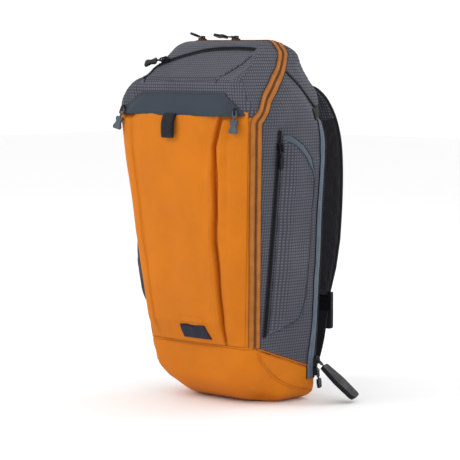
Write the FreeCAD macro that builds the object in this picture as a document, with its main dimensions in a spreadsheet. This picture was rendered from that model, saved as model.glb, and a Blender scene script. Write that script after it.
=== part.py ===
"""Hiking daypack with a clamshell front, built as separate sewn panels, zippers, harness and hardware.

Millimetres. +X is the right side seen from the front, +Y points to the wearer's back, +Z is up.
The origin is the middle of the bag in plan at floor level, and the base stands on Z = 0.
"""
import FreeCAD
import Part

import math
import os

V = FreeCAD.Vector
ROTATE = FreeCAD.Rotation

os.makedirs("parts", exist_ok=True)
for stale in os.listdir("parts"):
    if stale.endswith(".step"):
        os.remove(os.path.join("parts", stale))

doc = FreeCAD.newDocument("Daypack")

# ---------------------------------------------------------------- driving dimensions
sizes = doc.addObject("Spreadsheet::Sheet", "Sizes")
DRIVING = [
    # the bag's body
    ("wall", 4.0, "panel thickness: face fabric, foam and lining"),
    ("pack_height", 558.0, "top of the fabric above the floor"),
    ("base_seam", 92.0, "height of the boot's front seam"),
    ("yoke_line", 446.0, "height of the front pocket's mouth"),
    ("face_foot", -53.0, "Y of the front face where it meets the floor"),
    ("face_lean", 0.0961, "how far the front face leans out per mm of height"),
    ("back_plane", 88.0, "Y of the back wall"),
    ("front_half_foot", 96.0, "half width at the front face, at the floor"),
    ("front_half_flare", 0.1054, "growth of that half width per mm of height"),
    ("back_half_foot", 120.0, "half width at the back wall, at the floor"),
    ("back_half_flare", 0.0514, "growth of that half width per mm of height"),
    ("split_gap", 0.4, "gap between the clamshell front and the body"),
    # zippers
    ("tape_proud", 1.4, "zipper tape above the panels"),
    ("tape_half", 11.0, "width of one half of the main zipper's tape"),
    ("coil_proud", 1.2, "coil above the tape"),
    ("slider_width", 10.0, "slider across the chain"),
    ("slider_length", 14.0, "slider along the chain"),
    ("slider_height", 4.2, "slider above the tape"),
    ("bail_width", 2.0, "bail across"),
    ("bail_top", 8.5, "top of the bail above the tape"),
    ("bail_reach", 9.0, "bail along the chain"),
    ("pull_thick", 1.8, "plate that passes through the bail"),
    ("grip_thick", 3.6, "moulded grip of a zip pull"),
    ("handle_width", 34.0, "large rear zip handle, width"),
    ("handle_length", 82.0, "large rear zip handle, length"),
    ("handle_thick", 7.0, "large rear zip handle, thickness"),
    # pockets
    ("pocket_depth", 15.0, "front pocket's gusset depth"),
    ("pocket_wall", 2.2, "pocket face fabric"),
    ("side_pocket_rise", 9.0, "right side pocket above the side panel"),
    ("bottle_rise", 24.0, "left bottle pocket above the side panel"),
    # harness
    ("pad_rise", 14.0, "back pads above the back wall"),
    ("strap_width", 62.0, "shoulder strap width"),
    ("strap_thick", 11.0, "shoulder strap thickness"),
    ("web_width", 25.0, "harness webbing width"),
    ("web_thick", 1.8, "harness webbing thickness"),
    ("sternum_web", 20.0, "sternum webbing width"),
    ("lock_width", 34.0, "ladder lock width"),
    ("lock_length", 30.0, "ladder lock length"),
    ("lock_thick", 6.0, "ladder lock thickness"),
    ("sheet_thick", 1.6, "internal frame sheet thickness"),
]
for row, (alias, value, note) in enumerate(DRIVING, start=1):
    sizes.set(f"A{row}", note)
    sizes.set(f"B{row}", str(value))
    sizes.setAlias(f"B{row}", alias)
doc.recompute()
D = {alias: float(sizes.get(alias)) for alias, _, _ in DRIVING}

PARTS = []


def keep(obj, label):
    """Marks a document object as a sub-part: its label is its file's name."""
    obj.Label = label
    PARTS.append(obj)
    return obj


def feature(label, shape):
    """A sub-part whose shape is made with Part's own functions."""
    obj = doc.addObject("Part::Feature", label)
    obj.Shape = shape.removeSplitter()
    return keep(obj, label)


# ---------------------------------------------------------------- outlines
def offset_outline(points, grow):
    """A closed anticlockwise outline of (u, v, radius) corners, moved outwards by grow."""
    moved = []
    n = len(points)
    for i in range(n):
        before, here, after = points[i - 1], points[i], points[(i + 1) % n]
        edges = []
        for a, b in ((before, here), (here, after)):
            du, dv = b[0] - a[0], b[1] - a[1]
            length = math.hypot(du, dv)
            nu, nv = dv / length, -du / length
            edges.append((a[0] + nu * grow, a[1] + nv * grow, du, dv))
        (u1, v1, a1, b1), (u2, v2, a2, b2) = edges
        cross = a1 * b2 - b1 * a2
        along = ((u2 - u1) * b2 - (v2 - v1) * a2) / cross
        radius = max(here[2] + grow, 0.0) if here[2] else 0.0
        moved.append((u1 + a1 * along, v1 + b1 * along, radius))
    return moved


def outline_wire(points, place):
    """A closed wire with a true arc at every corner that has a radius; place maps (u, v) to a point."""
    n = len(points)
    ends = []
    for i in range(n):
        before, (u, v, radius), after = points[i - 1], points[i], points[(i + 1) % n]
        if radius <= 0:
            ends.append(((u, v), None, (u, v)))
            continue
        bu, bv = before[0] - u, before[1] - v
        au, av = after[0] - u, after[1] - v
        bl, al = math.hypot(bu, bv), math.hypot(au, av)
        bu, bv, au, av = bu / bl, bv / bl, au / al, av / al
        half = math.acos(max(-1.0, min(1.0, bu * au + bv * av))) / 2
        reach = radius / math.tan(half)
        mu, mv = bu + au, bv + av
        ml = math.hypot(mu, mv)
        centre = radius / math.sin(half)
        crown = centre - radius
        ends.append((
            (u + bu * reach, v + bv * reach),
            (u + mu / ml * crown, v + mv / ml * crown),
            (u + au * reach, v + av * reach),
        ))
    edges = []
    for i in range(n):
        start, crown, end = ends[i]
        if crown is not None:
            edges.append(Part.Arc(place(*start), place(*crown), place(*end)).toShape())
        following = ends[(i + 1) % n][0]
        if math.hypot(end[0] - following[0], end[1] - following[1]) > 1e-4:
            edges.append(Part.makeLine(place(*end), place(*following)))
    return Part.Wire(edges)


def corners(points, radius=0.0):
    """Gives every plain (u, v) corner the same radius."""
    return [(p[0], p[1], p[2] if len(p) > 2 else radius) for p in points]


def prism_yz(points, x0, x1):
    wire = outline_wire(corners(points), lambda y, z: V(x0, y, z))
    return Part.Face(wire).extrude(V(x1 - x0, 0, 0))


def prism_xz(points, y0, y1):
    wire = outline_wire(corners(points), lambda x, z: V(x, y0, z))
    return Part.Face(wire).extrude(V(0, y1 - y0, 0))


def prism_xy(points, z0, z1):
    wire = outline_wire(corners(points), lambda x, y: V(x, y, z0))
    return Part.Face(wire).extrude(V(0, 0, z1 - z0))


def box(x0, x1, y0, y1, z0, z1):
    return Part.makeBox(x1 - x0, y1 - y0, z1 - z0, V(x0, y0, z0))


# ---------------------------------------------------------------- the bag's skin
FAR = 400.0


def front_face(z):
    """Y of the front face at a height."""
    return D["face_foot"] - D["face_lean"] * z


def front_half(z):
    return D["front_half_foot"] + D["front_half_flare"] * z


def back_half(z):
    return D["back_half_foot"] + D["back_half_flare"] * z


TOP = D["pack_height"]
HOOD_FOOT = (front_face(499.0), 499.0)      # where the front face turns into the hood
HOOD_CREST = (-24.0, TOP - 1.0)             # where the hood's slope ends

SIDE_PROFILE = [                            # (Y, Z, radius), anticlockwise seen from +X
    (D["face_foot"], 0.0, 45.0),
    (D["back_plane"], 0.0, 14.0),
    (D["back_plane"], 480.0, 28.0),
    (24.0, TOP, 38.0),
    (HOOD_CREST[0], HOOD_CREST[1], 45.0),
    (HOOD_FOOT[0], HOOD_FOOT[1], 16.0),
]
FRONT_PROFILE = [                           # (X, Z, radius)
    (116.0, 0.0, 38.0), (148.0, 440.0, 40.0), (112.0, 538.0, 20.0), (88.0, TOP + 1.0, 20.0),
    (-88.0, TOP + 1.0, 20.0), (-112.0, 538.0, 20.0), (-148.0, 440.0, 40.0), (-116.0, 0.0, 38.0),
]


def plan_outline(z):
    """The rounded trapezoid of the bag seen from above, at a height."""
    y_front, y_back = front_face(z), D["back_plane"]
    f, b = front_half(z), back_half(z)
    return [(-f, y_front, 22.0), (f, y_front, 22.0), (b, y_back, 20.0), (-b, y_back, 20.0)]


def skin(grow):
    """The bag's whole body, grown by that much all round (negative is inwards)."""
    low, high = -12.0, TOP + 12.0
    plan = Part.makeLoft([
        outline_wire(offset_outline(plan_outline(z), grow), lambda x, y, z=z: V(x, y, z))
        for z in (low, high)
    ], True, True)
    side = prism_yz(offset_outline(SIDE_PROFILE, grow), -FAR, FAR)
    front = prism_xz(offset_outline(FRONT_PROFILE, grow), -FAR, FAR)
    return plan.common(side).common(front)


OUTER = skin(0.0)
SHELL = OUTER.cut(skin(-D["wall"]))

# The main zipper's centre line, seen from the side: up the front edge, back over the hood's shoulder, across the top.
SEAM = D["base_seam"]
ZIP_LINE = [(front_face(SEAM) + 13.0, SEAM), (front_face(438.0) + 13.0, 438.0), (-56.0, 472.0),
            (-8.0, 513.0), (12.0, 536.0), (18.0, 575.0)]


def shifted(line, dy):
    return [(y + dy, z) for y, z in line]


def ahead_of(line, dy=0.0):
    """Everything in front of the zipper line and above the base seam."""
    moved = shifted(line, dy)
    return prism_yz([(-FAR, moved[0][1])] + moved + [(moved[-1][0], 2 * FAR), (-FAR, 2 * FAR)], -FAR, FAR)


def band(line, ahead, behind):
    """The strip that runs along a line in the YZ plane, from ahead of it to behind it."""
    def side(offset):
        out = []
        for i, (y, z) in enumerate(line):
            a = line[max(i - 1, 0)]
            b = line[min(i + 1, len(line) - 1)]
            dy, dz = b[0] - a[0], b[1] - a[1]
            length = math.hypot(dy, dz)
            out.append((y + dz / length * offset, z - dy / length * offset))
        return out
    return prism_yz(side(behind) + side(-ahead)[::-1], -FAR, FAR)


# ---------------------------------------------------------------- body panels
GAP = D["split_gap"]
FRONT_ZONE = ahead_of(ZIP_LINE)
BODY_SHELL = SHELL.cut(ahead_of([(ZIP_LINE[0][0] + GAP, SEAM - GAP)] + shifted(ZIP_LINE[1:], GAP)))
BOOT_LINE = [(-46.0, SEAM - GAP), (95.0, 42.0)]         # the boot's top edge along the side
PIPING = [(-60.0, 568.0), (2.0, 514.0), (96.0, 428.0)]    # seam between the sides and the sloping top


def build_panels():
    """Base boot, sides, sloping rear top and back wall, cut from one skin so that their edges meet."""
    boot = prism_yz([(-FAR, -50.0), (95.0 + FAR, -50.0), (95.0 + FAR, BOOT_LINE[1][1]), BOOT_LINE[1],
                     BOOT_LINE[0], (-FAR, BOOT_LINE[0][1])], -FAR, FAR)
    top = prism_yz([PIPING[2], (FAR, PIPING[2][1]), (FAR, 2 * FAR), (PIPING[0][0], 2 * FAR), PIPING[0], PIPING[1]],
                   -FAR, FAR)
    back = box(-FAR, FAR, D["back_plane"] - D["wall"], FAR, -50.0, 2 * FAR)
    rest = BODY_SHELL.cut(boot).cut(top)
    feature("base_boot", BODY_SHELL.common(boot))
    feature("sloping_top_rear", BODY_SHELL.common(top))
    feature("back_wall", rest.common(back))
    sides = rest.cut(back)
    feature("side_panel_right", sides.common(box(0, FAR, -FAR, FAR, -50, 2 * FAR)))
    feature("side_panel_left", sides.common(box(-FAR, 0, -FAR, FAR, -50, 2 * FAR)))


def build_clamshell():
    """The front that folds down: inner face below the yoke line and the hood above it."""
    front = SHELL.common(FRONT_ZONE)
    low = box(-FAR, FAR, -FAR, FAR, -50.0, D["yoke_line"])
    feature("clamshell_inner_face", front.common(low))
    feature("hood", front.cut(low))


build_panels()
build_clamshell()

# ---------------------------------------------------------------- zipper tapes
LIFT = 0.3                      # air between a tape and the panel that it is sewn on, so that no faces share volume
TAPE_SKIN = skin(LIFT + D["tape_proud"]).cut(skin(LIFT))
COIL_SKIN = skin(LIFT + D["tape_proud"] + D["coil_proud"]).cut(skin(LIFT + D["tape_proud"]))
COIL_HALF = 2.6


def build_main_zip():
    """Both halves of the main zipper: one stays on the body, the other folds down with the front."""
    above = box(-FAR, FAR, -FAR, FAR, SEAM + 0.6, 2 * FAR)
    for label, tape_band, coil_band in (
        ("main_zip_tape_front", band(ZIP_LINE, D["tape_half"], -GAP / 2), band(ZIP_LINE, COIL_HALF, -GAP / 2)),
        ("main_zip_tape_body", band(ZIP_LINE, -GAP / 2, D["tape_half"]), band(ZIP_LINE, -GAP / 2, COIL_HALF)),
    ):
        tape = TAPE_SKIN.common(tape_band)
        coil = COIL_SKIN.common(coil_band)
        feature(label, tape.fuse(coil).common(above))


build_main_zip()

REAR_ZIP = [(D["back_plane"] - 13.0, 34.0), (D["back_plane"] - 13.0, 436.0)]
REAR_TAPE_HALF = 9.0


def build_rear_zip(label, x0, x1):
    """The rear compartment's zipper, straight up the back edge of one side."""
    tape = TAPE_SKIN.common(band(REAR_ZIP, REAR_TAPE_HALF, REAR_TAPE_HALF))
    coil = COIL_SKIN.common(band(REAR_ZIP, COIL_HALF, COIL_HALF))
    feature(label, tape.fuse(coil).common(box(x0, x1, -FAR, FAR, -50, 2 * FAR)))


build_rear_zip("rear_zip_tape_right", 0, FAR)


# ---------------------------------------------------------------- hood: yoke and top pocket zipper
SLOPE_RUN = (HOOD_CREST[0] - HOOD_FOOT[0], HOOD_CREST[1] - HOOD_FOOT[1])
SLOPE = math.degrees(math.atan2(SLOPE_RUN[1], SLOPE_RUN[0]))
SLOPE_PLACE = FreeCAD.Placement(V(0, HOOD_FOOT[0], HOOD_FOOT[1]), ROTATE(V(1, 0, 0), SLOPE))
# In the slope's own plane X runs across and Y runs up the slope from the hood's foot.
ARC_RADIUS = 214.0
ARC_CENTRE = (59.0, -134.0)
ARC_FROM, ARC_TO = 136.0, 79.0              # degrees, the arc's two ends seen in the slope's plane
TOP_TAPE_HALF = 8.0


def ring_sector(centre, inner, outer, start, stop, low, high):
    """A flat piece of ring in the XY plane, between two angles."""
    ring = Part.makeCylinder(outer, high - low, V(centre[0], centre[1], low), V(0, 0, 1), stop - start)
    hole = Part.makeCylinder(inner, high - low, V(centre[0], centre[1], low), V(0, 0, 1), stop - start)
    sector = ring.cut(hole)
    sector.rotate(V(centre[0], centre[1], 0), V(0, 0, 1), start)
    return sector


def build_top_zip():
    """The top pocket's zipper: a shallow arc in the plane of the hood's slope."""
    low = LIFT
    tape = ring_sector(ARC_CENTRE, ARC_RADIUS - TOP_TAPE_HALF, ARC_RADIUS + TOP_TAPE_HALF, ARC_TO, ARC_FROM,
                       low, low + D["tape_proud"])
    coil = ring_sector(ARC_CENTRE, ARC_RADIUS - COIL_HALF, ARC_RADIUS + COIL_HALF, ARC_TO, ARC_FROM,
                       low + D["tape_proud"], low + D["tape_proud"] + D["coil_proud"])
    zipper = tape.fuse(coil)
    zipper.Placement = SLOPE_PLACE
    feature("top_zip_tape", zipper)


build_top_zip()


def build_yoke():
    """The smooth coated patch across the foot of the hood, with cut upper corners."""
    outline = [(-124.0, D["yoke_line"] + 1.5), (124.0, D["yoke_line"] + 1.5), (124.0, 452.0), (84.0, 494.0),
               (-84.0, 494.0), (-124.0, 452.0)]
    patch = skin(1.5).cut(skin(LIFT)).common(prism_xz(outline, -FAR, -70.0))
    feature("yoke_patch", patch)


build_yoke()


# ---------------------------------------------------------------- PartDesign helpers
def new_body(label):
    return keep(doc.addObject("PartDesign::Body", label), label)


def origin_plane(body, role):
    return [f for f in body.Origin.OriginFeatures if f.Role == role][0]


def sketch_on(body, role, loops, away=0.0):
    """A sketch on one of the body's origin planes; loops are outlines of (u, v, radius) or (u, v, "circle", r)."""
    sketch = body.newObject("Sketcher::SketchObject", body.Name + "Sketch")
    sketch.AttachmentSupport = [(origin_plane(body, role), "")]
    sketch.MapMode = "FlatFace"
    sketch.AttachmentOffset = FreeCAD.Placement(V(0, 0, away), ROTATE())
    for loop in loops:
        if loop[0] == "circle":
            sketch.addGeometry(Part.Circle(V(loop[1], loop[2], 0), V(0, 0, 1), loop[3]), False)
            continue
        wire = outline_wire(corners(loop), lambda u, v: V(u, v, 0))
        for edge in wire.Edges:
            curve = edge.Curve
            if curve.TypeId == "Part::GeomCircle":
                sketch.addGeometry(Part.ArcOfCircle(curve, *edge.ParameterRange), False)
            else:
                sketch.addGeometry(Part.LineSegment(edge.Vertexes[0].Point, edge.Vertexes[-1].Point), False)
    return sketch


def rectangle_on(body, role, width, height, centre=(0.0, 0.0), away=0.0):
    """A rectangle sketch whose two sides are bound to cells of the sheet."""
    w, h = D[width], D[height]
    u, v = centre
    loop = [(u - w / 2, v - h / 2), (u + w / 2, v - h / 2), (u + w / 2, v + h / 2), (u - w / 2, v + h / 2)]
    sketch = sketch_on(body, role, [loop], away)
    import Sketcher
    for i in range(4):
        sketch.addConstraint(Sketcher.Constraint("Coincident", i, 2, (i + 1) % 4, 1))
        sketch.addConstraint(Sketcher.Constraint("Horizontal" if i % 2 == 0 else "Vertical", i))
    for kind, line, value, alias in (("DistanceX", 0, w, width), ("DistanceY", 1, h, height)):
        index = sketch.addConstraint(Sketcher.Constraint(kind, line, 1, line, 2, value))
        sketch.renameConstraint(index, alias)
        sketch.setExpression(f"Constraints.{alias}", f"Sizes.{alias}")
    for kind, value in (("DistanceX", loop[0][0]), ("DistanceY", loop[0][1])):
        sketch.addConstraint(Sketcher.Constraint(kind, 0, 1, value))
    return sketch


def pad(body, sketch, length, both_ways=False, reverse=False):
    """Pads a sketch; length is a cell's alias, or an expression over the sheet."""
    solid = body.newObject("PartDesign::Pad", body.Name + "Pad")
    solid.Profile = sketch
    solid.setExpression("Length", length if "Sizes." in length else f"Sizes.{length}")
    if both_ways:
        solid.SideType = "Symmetric"
    solid.Reversed = reverse
    doc.recompute()
    return solid


def pocket(body, sketch, depth, reverse=False):
    hole = body.newObject("PartDesign::Pocket", body.Name + "Pocket")
    hole.Profile = sketch
    hole.setExpression("Length", depth)
    hole.Reversed = reverse
    before = body.Shape.Volume
    doc.recompute()
    if body.Shape.Volume > before - 1.0:
        raise RuntimeError(f"{body.Label}: the pocket cut nothing")
    return hole


def frame_at(point, up, out):
    """A placement whose local Y is out, local Z is as near to up as that allows, and local X completes them."""
    y = V(*out).normalize()
    z = V(*up)
    z = (z - y * z.dot(y)).normalize()
    x = y.cross(z)
    m = FreeCAD.Matrix(x.x, y.x, z.x, point[0], x.y, y.y, z.y, point[1], x.z, y.z, z.z, point[2], 0, 0, 0, 1)
    return FreeCAD.Placement(m)


def probe(outside, inside):
    """Where a straight way in meets the bag's skin, and the outward normal there."""
    way = Part.makeLine(V(*outside), V(*inside))
    hit = min((v.Point for v in OUTER.common(way).Vertexes), key=lambda p: p.distanceToPoint(V(*outside)))
    nearest = min(OUTER.Faces, key=lambda f: f.distToShape(Part.Vertex(hit))[0])
    u, v = nearest.Surface.parameter(hit)
    normal = nearest.normalAt(u, v)
    if normal.dot(V(*outside) - V(*inside)) < 0:
        normal = normal * -1
    return hit, normal


# ---------------------------------------------------------------- sliders and pulls
BAIL_WINDOW = (4.6, 7.0)                    # the window's floor and ceiling above the tape
HINGE_HEIGHT = sum(BAIL_WINDOW) / 2


def make_slider(label, place):
    """A zip slider: a waisted body under a bridge-shaped bail. Local Z runs along the chain, local Y is outwards."""
    body = new_body(label)
    w, n = D["slider_width"] / 2, D["slider_length"] / 2
    outline = [(-w * 0.62, -n, 1.2), (w * 0.62, -n, 1.2), (w * 0.9, -n * 0.2, 2.0), (w, n * 0.75, 1.2), (w * 0.5, n, 1.0),
               (-w * 0.5, n, 1.0), (-w, n * 0.75, 1.2), (-w * 0.9, -n * 0.2, 2.0)]
    pad(body, sketch_on(body, "XZ_Plane", [outline]), "slider_height", reverse=True)
    reach, top = D["bail_reach"] / 2, D["bail_top"]
    low = D["slider_height"] - 0.6
    bridge = [(low, -reach), (top, -reach, 1.6), (top, reach, 1.6), (low, reach)]
    window = [(BAIL_WINDOW[0], -2.9), (BAIL_WINDOW[1], -2.9, 0.5), (BAIL_WINDOW[1], 2.9, 0.5), (BAIL_WINDOW[0], 2.9)]
    pad(body, sketch_on(body, "YZ_Plane", [bridge, window]), "bail_width", both_ways=True)
    body.Placement = place
    return body


def hinge_of(place):
    """The placement of a pull that hangs from the slider at this placement."""
    return place.multiply(FreeCAD.Placement(V(0, HINGE_HEIGHT, 0), ROTATE()))


EYE = [(-4.6, 0.7, 0.5), (-4.6, -8.2, 2.0), (-1.4, -9.4, 0.5)]
EYE_HOLE = [(-2.5, -6.8, 0.8), (2.5, -6.8, 0.8), (2.5, -0.7), (-2.5, -0.7)]


def mirrored(half):
    """A closed outline from its left half, listed from the top down."""
    return half + [(-p[0],) + tuple(p[1:]) for p in reversed(half)]


def make_pull(label, place, grip, swing=0.0, roll=0.0):
    """A zip pull: an eye that passes through the bail, a cord neck and a thicker moulded grip."""
    body = new_body(label)
    neck = EYE + [(-1.4, grip[0][1] + 1.0)] + [(-1.4, grip[0][1] - 1.0)]
    pad(body, sketch_on(body, "XZ_Plane", [mirrored(neck), EYE_HOLE]), "pull_thick", both_ways=True)
    pad(body, sketch_on(body, "XZ_Plane", [mirrored(grip)]), "grip_thick", both_ways=True)
    turn = FreeCAD.Placement(V(0, 0, 0), ROTATE(V(0, 1, 0), roll).multiply(ROTATE(V(1, 0, 0), swing)))
    body.Placement = hinge_of(place).multiply(turn)
    return body


# Grip outlines, left half from the top down.
TAPER_GRIP = [(-2.6, -13.0, 0.8), (-4.2, -18.0, 1.5), (-3.4, -33.0, 1.6)]
STAR_GRIP = [(-5.6, -13.5, 1.0), (-7.2, -16.0, 1.2), (-4.4, -22.5, 2.5), (-8.2, -30.0, 1.8), (-6.4, -33.5, 1.4)]

LIFT_TO_COIL = LIFT + D["tape_proud"] + D["coil_proud"] + 0.2


def on_skin(outside, inside, up, lift):
    hit, normal = probe(outside, inside)
    return frame_at(hit + normal * lift, up, normal)


# ---------------------------------------------------------------- front stuff pocket
# Height, share of the pocket's full depth, and the left and right pleat lines' X.
POCKET_LEVELS = [(96.0, 0.16, -74.0, 54.0), (128.0, 0.9, -77.0, 54.0), (250.0, 1.0, -86.0, 52.0),
                 (400.0, 0.9, -97.0, 62.0), (440.0, 0.62, -100.0, 76.0)]


def pocket_edge(z):
    """Half the width of the pocket's sewn sides, just inside the main zipper."""
    return front_half(z) - 18.0


def pocket_strip(points_at):
    """A thin ruled wall; points_at gives its plan outline from the height, depth and the two pleat lines."""
    wires = []
    for z, share, left, right in POCKET_LEVELS:
        depth = LIFT + D["pocket_wall"] + D["pocket_depth"] * share
        points = [V(x, front_face(z) - out, z) for x, out in points_at(pocket_edge(z), depth, left, right)]
        wires.append(Part.makePolygon(points + points[:1]))
    return Part.makeLoft(wires, True, True)


def build_front_pocket():
    wall = D["pocket_wall"]
    feature("front_pocket", pocket_strip(lambda edge, d, left, right: [
        (-edge, LIFT + 1.2), (left, d), (right, d), (edge, LIFT + 1.2), (edge, LIFT), (edge - 6, LIFT),
        (right, d - wall), (left, d - wall), (6 - edge, LIFT), (-edge, LIFT)]))


def on_pocket(z):
    """How far the pocket's front stands out of the face plane at a height."""
    for (z0, s0, _, _), (z1, s1, _, _) in zip(POCKET_LEVELS, POCKET_LEVELS[1:]):
        if z0 <= z <= z1:
            share = s0 + (s1 - s0) * (z - z0) / (z1 - z0)
            return LIFT + D["pocket_wall"] + D["pocket_depth"] * share
    raise ValueError(z)


def sheet_on_pocket(outline, thick):
    """A flat patch laid on the pocket's front, from an (X, Z) outline."""
    rows = sorted({p[1] for p in outline} | {level[0] for level in POCKET_LEVELS})
    low, high = rows[0], max(p[1] for p in outline)
    levels = [z for z in rows if min(p[1] for p in outline) <= z <= high]
    front = [(front_face(z) - on_pocket(z) - LIFT, z) for z in levels]
    slab = prism_yz(front + [(y - thick, z) for y, z in reversed(front)], -FAR, FAR)
    return slab.common(prism_xz(outline, -FAR, FAR))


def build_pocket_tabs():
    feature("bottom_tab", sheet_on_pocket(
        [(-18, 102), (40, 102), (40, 119), (30, 124), (20, 122), (10, 127), (-4, 124), (-18, 126)], 1.4))
    loop_front = front_face(430) - on_pocket(430) - LIFT
    loop = prism_yz([(loop_front, 446), (loop_front, 414, 2), (loop_front - 7, 411, 3), (loop_front - 7.5, 420, 3),
                     (loop_front - 3.2, 436, 3), (loop_front - 3.2, 446)], -22, 3)
    hollow = prism_yz([(loop_front - 1.6, 446.5), (loop_front - 1.6, 417, 1), (loop_front - 5.6, 414, 1),
                       (loop_front - 5.9, 420, 1), (loop_front - 1.6, 436.5)], -FAR, FAR)
    feature("top_tab", loop.cut(hollow))


build_front_pocket()
build_pocket_tabs()


# ---------------------------------------------------------------- side pockets
SIDE_FROM = 80.0                            # side patches are cut from the skin outside this X


def side_sheet(outline, side, inner, outer):
    """A patch of the bag's side between two offsets of its skin, from a (Y, Z) outline."""
    layer = skin(outer).cut(skin(inner))
    return layer.common(prism_yz(outline, *sorted((SIDE_FROM * side, FAR * side))))


SIDE_ZIP_Y = -32.0
SIDE_ZIP_HALF = 6.0
GUSSET_OUTLINE = [(-24.5, 112), (5, 122, 30), (39, 135, 6), (30, 200, 200), (26, 300, 200), (45, 364, 30),
                  (29, 388, 20), (-5, 413, 20), (-24.5, 417)]


def build_side_zip(label, side, low):
    front, rear, high = SIDE_ZIP_Y - SIDE_ZIP_HALF, SIDE_ZIP_Y + SIDE_ZIP_HALF, 424
    feature(label, side_sheet([(front, high), (rear, high), (rear, low), (front, low)], side, LIFT,
                              LIFT + D["tape_proud"]))


def build_side_pocket():
    """The right pocket: a gusseted patch behind its zipper, standing a little proud of the side."""
    outer = skin(LIFT + D["side_pocket_rise"])
    inner = skin(LIFT + D["side_pocket_rise"] - D["pocket_wall"])
    zone = prism_yz(GUSSET_OUTLINE, SIDE_FROM, FAR)
    feature("side_pocket", outer.cut(skin(LIFT)).common(zone).cut(
        inner.common(prism_yz([(-22, 130), (30, 142), (24, 300), (36, 360), (0, 396), (-22, 402)], SIDE_FROM, FAR))))


BOTTLE_OUTLINE = [(-35, 92), (28, 50, 20), (61, 66, 20), (64, 246), (-55, 302)]


def build_bottle_pocket():
    """The left pocket: a stretch pocket open at the top, deep enough for a bottle."""
    rise = D["bottle_rise"]
    zone = prism_yz(BOTTLE_OUTLINE, -FAR, -SIDE_FROM)
    hollow = prism_yz([(-29, 103), (22, 65, 16), (54, 78, 14), (58, 400), (-57, 400)], -FAR, -SIDE_FROM)
    cup = skin(LIFT + rise).cut(skin(LIFT)).common(zone)
    feature("bottle_pocket", cup.cut(skin(LIFT + rise - D["pocket_wall"]).common(hollow)))


build_side_zip("side_zip_tape_right", 1, 108)
build_side_zip("side_zip_tape_left", -1, 316)
build_side_pocket()
build_bottle_pocket()


# ---------------------------------------------------------------- inside and back
def back_slab(outline, low, high):
    """A panel on the wearer's side, from an (X, Z) outline; low and high are measured out of the back plane."""
    return prism_xz(outline, D["back_plane"] + low, D["back_plane"] + high)


def build_interior():
    inner_back = -D["wall"] - LIFT
    feature("frame_sheet", back_slab([(-92, 26, 20), (92, 26, 20), (98, 448, 24), (-98, 448, 24)],
                                     inner_back - D["sheet_thick"], inner_back))
    feature("laptop_sleeve", back_slab([(-96, 40, 12), (96, 40, 12), (100, 330, 12), (-100, 330, 12)], -24, -20).fuse(
        back_slab([(-96, 40, 12), (-88, 40), (-92, 330), (-100, 330, 6)], -24, inner_back - 2.2)).fuse(
        back_slab([(88, 40), (96, 40, 12), (100, 330, 6), (92, 330)], -24, inner_back - 2.2)).fuse(
        back_slab([(-96, 40, 6), (96, 40, 6), (96, 46), (-96, 46)], -24, inner_back - 2.2)))


def build_back_pads():
    rise = D["pad_rise"]
    upper = [(12, 150, 12), (78, 150, 18), (86, 438, 22), (12, 438, 14)]
    for label, side in (("back_pad_right", 1), ("back_pad_left", -1)):
        outline = [(x * side, z, r) for x, z, r in upper]
        feature(label, back_slab(outline if side > 0 else outline[::-1], LIFT, LIFT + rise))
    feature("lumbar_pad", back_slab([(-84, 40, 22), (84, 40, 22), (78, 138, 16), (-78, 138, 16)], LIFT, LIFT + rise + 4))


build_interior()
build_back_pads()

# The shoulder harness: a sewn yoke that joins both straps to the top of the back panel.
HARNESS_Z = 486.0
HARNESS_Y = 102.0


def arc_strip(path, half, x_at):
    """A flat band that follows a (Y, Z) path; x_at gives the middle's X along it. Built as a ruled loft."""
    wires = []
    for i, (y, z) in enumerate(path):
        a = path[max(i - 1, 0)]
        b = path[min(i + 1, len(path) - 1)]
        run = V(0, b[0] - a[0], b[1] - a[1]).normalize()
        out = V(0, -run.z, run.y)
        middle = V(x_at(i), y, z)
        across = V(1, 0, 0)
        w, t = half(i)
        points = [middle - across * w - out * t, middle + across * w - out * t,
                  middle + across * w + out * t, middle - across * w + out * t]
        wires.append(Part.makePolygon(points + points[:1]))
    return Part.makeLoft(wires, True, True)


STRAP_PATH = [(104, 487.5), (118, 484), (136, 466), (150, 436), (157, 400), (158, 355), (154, 300), (148, 245),
              (143, 200), (140, 168)]
STRAP_X = [58, 60, 64, 69, 73, 76, 79, 82, 84, 85]
STRAP_HALF = [27, 29, 31, 32, 32, 31, 30, 28, 22, 14]
LAST = len(STRAP_PATH) - 1


LOCK_Z = 160.0
LOCK_Y = 140.5


def lock_loop(x):
    """The webbing loop at a strap's end that holds the ladder lock's top bar."""
    outer = prism_yz([(LOCK_Y - 5.4, LOCK_Z - 4.8, 2), (LOCK_Y + 5.4, LOCK_Z - 4.8, 2), (LOCK_Y + 5.4, LOCK_Z + 12.4, 1),
                      (LOCK_Y - 5.4, LOCK_Z + 12.4, 1)], x - 12, x + 12)
    hollow = prism_yz([(LOCK_Y - 4.0, LOCK_Z - 3.4, 1), (LOCK_Y + 4.0, LOCK_Z - 3.4, 1), (LOCK_Y + 4.0, LOCK_Z + 3.4, 1),
                       (LOCK_Y - 4.0, LOCK_Z + 3.4, 1)], -FAR, FAR)
    return outer.cut(hollow)


def build_straps():
    t = D["strap_thick"] / 2
    for label, side in (("strap_right", 1), ("strap_left", -1)):
        padded = arc_strip(STRAP_PATH, lambda i: (STRAP_HALF[i], t if 0 < i < LAST else t * 0.6),
                           lambda i: side * STRAP_X[i])
        feature(label, padded.fuse(lock_loop(side * STRAP_X[-1])))


build_straps()


def beside(path, away):
    """The same (Y, Z) path moved outwards, square to itself."""
    moved = []
    for i, (y, z) in enumerate(path):
        a = path[max(i - 1, 0)]
        b = path[min(i + 1, len(path) - 1)]
        run = V(0, b[0] - a[0], b[1] - a[1]).normalize()
        moved.append((y - run.z * away, z + run.y * away))
    return moved


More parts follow.
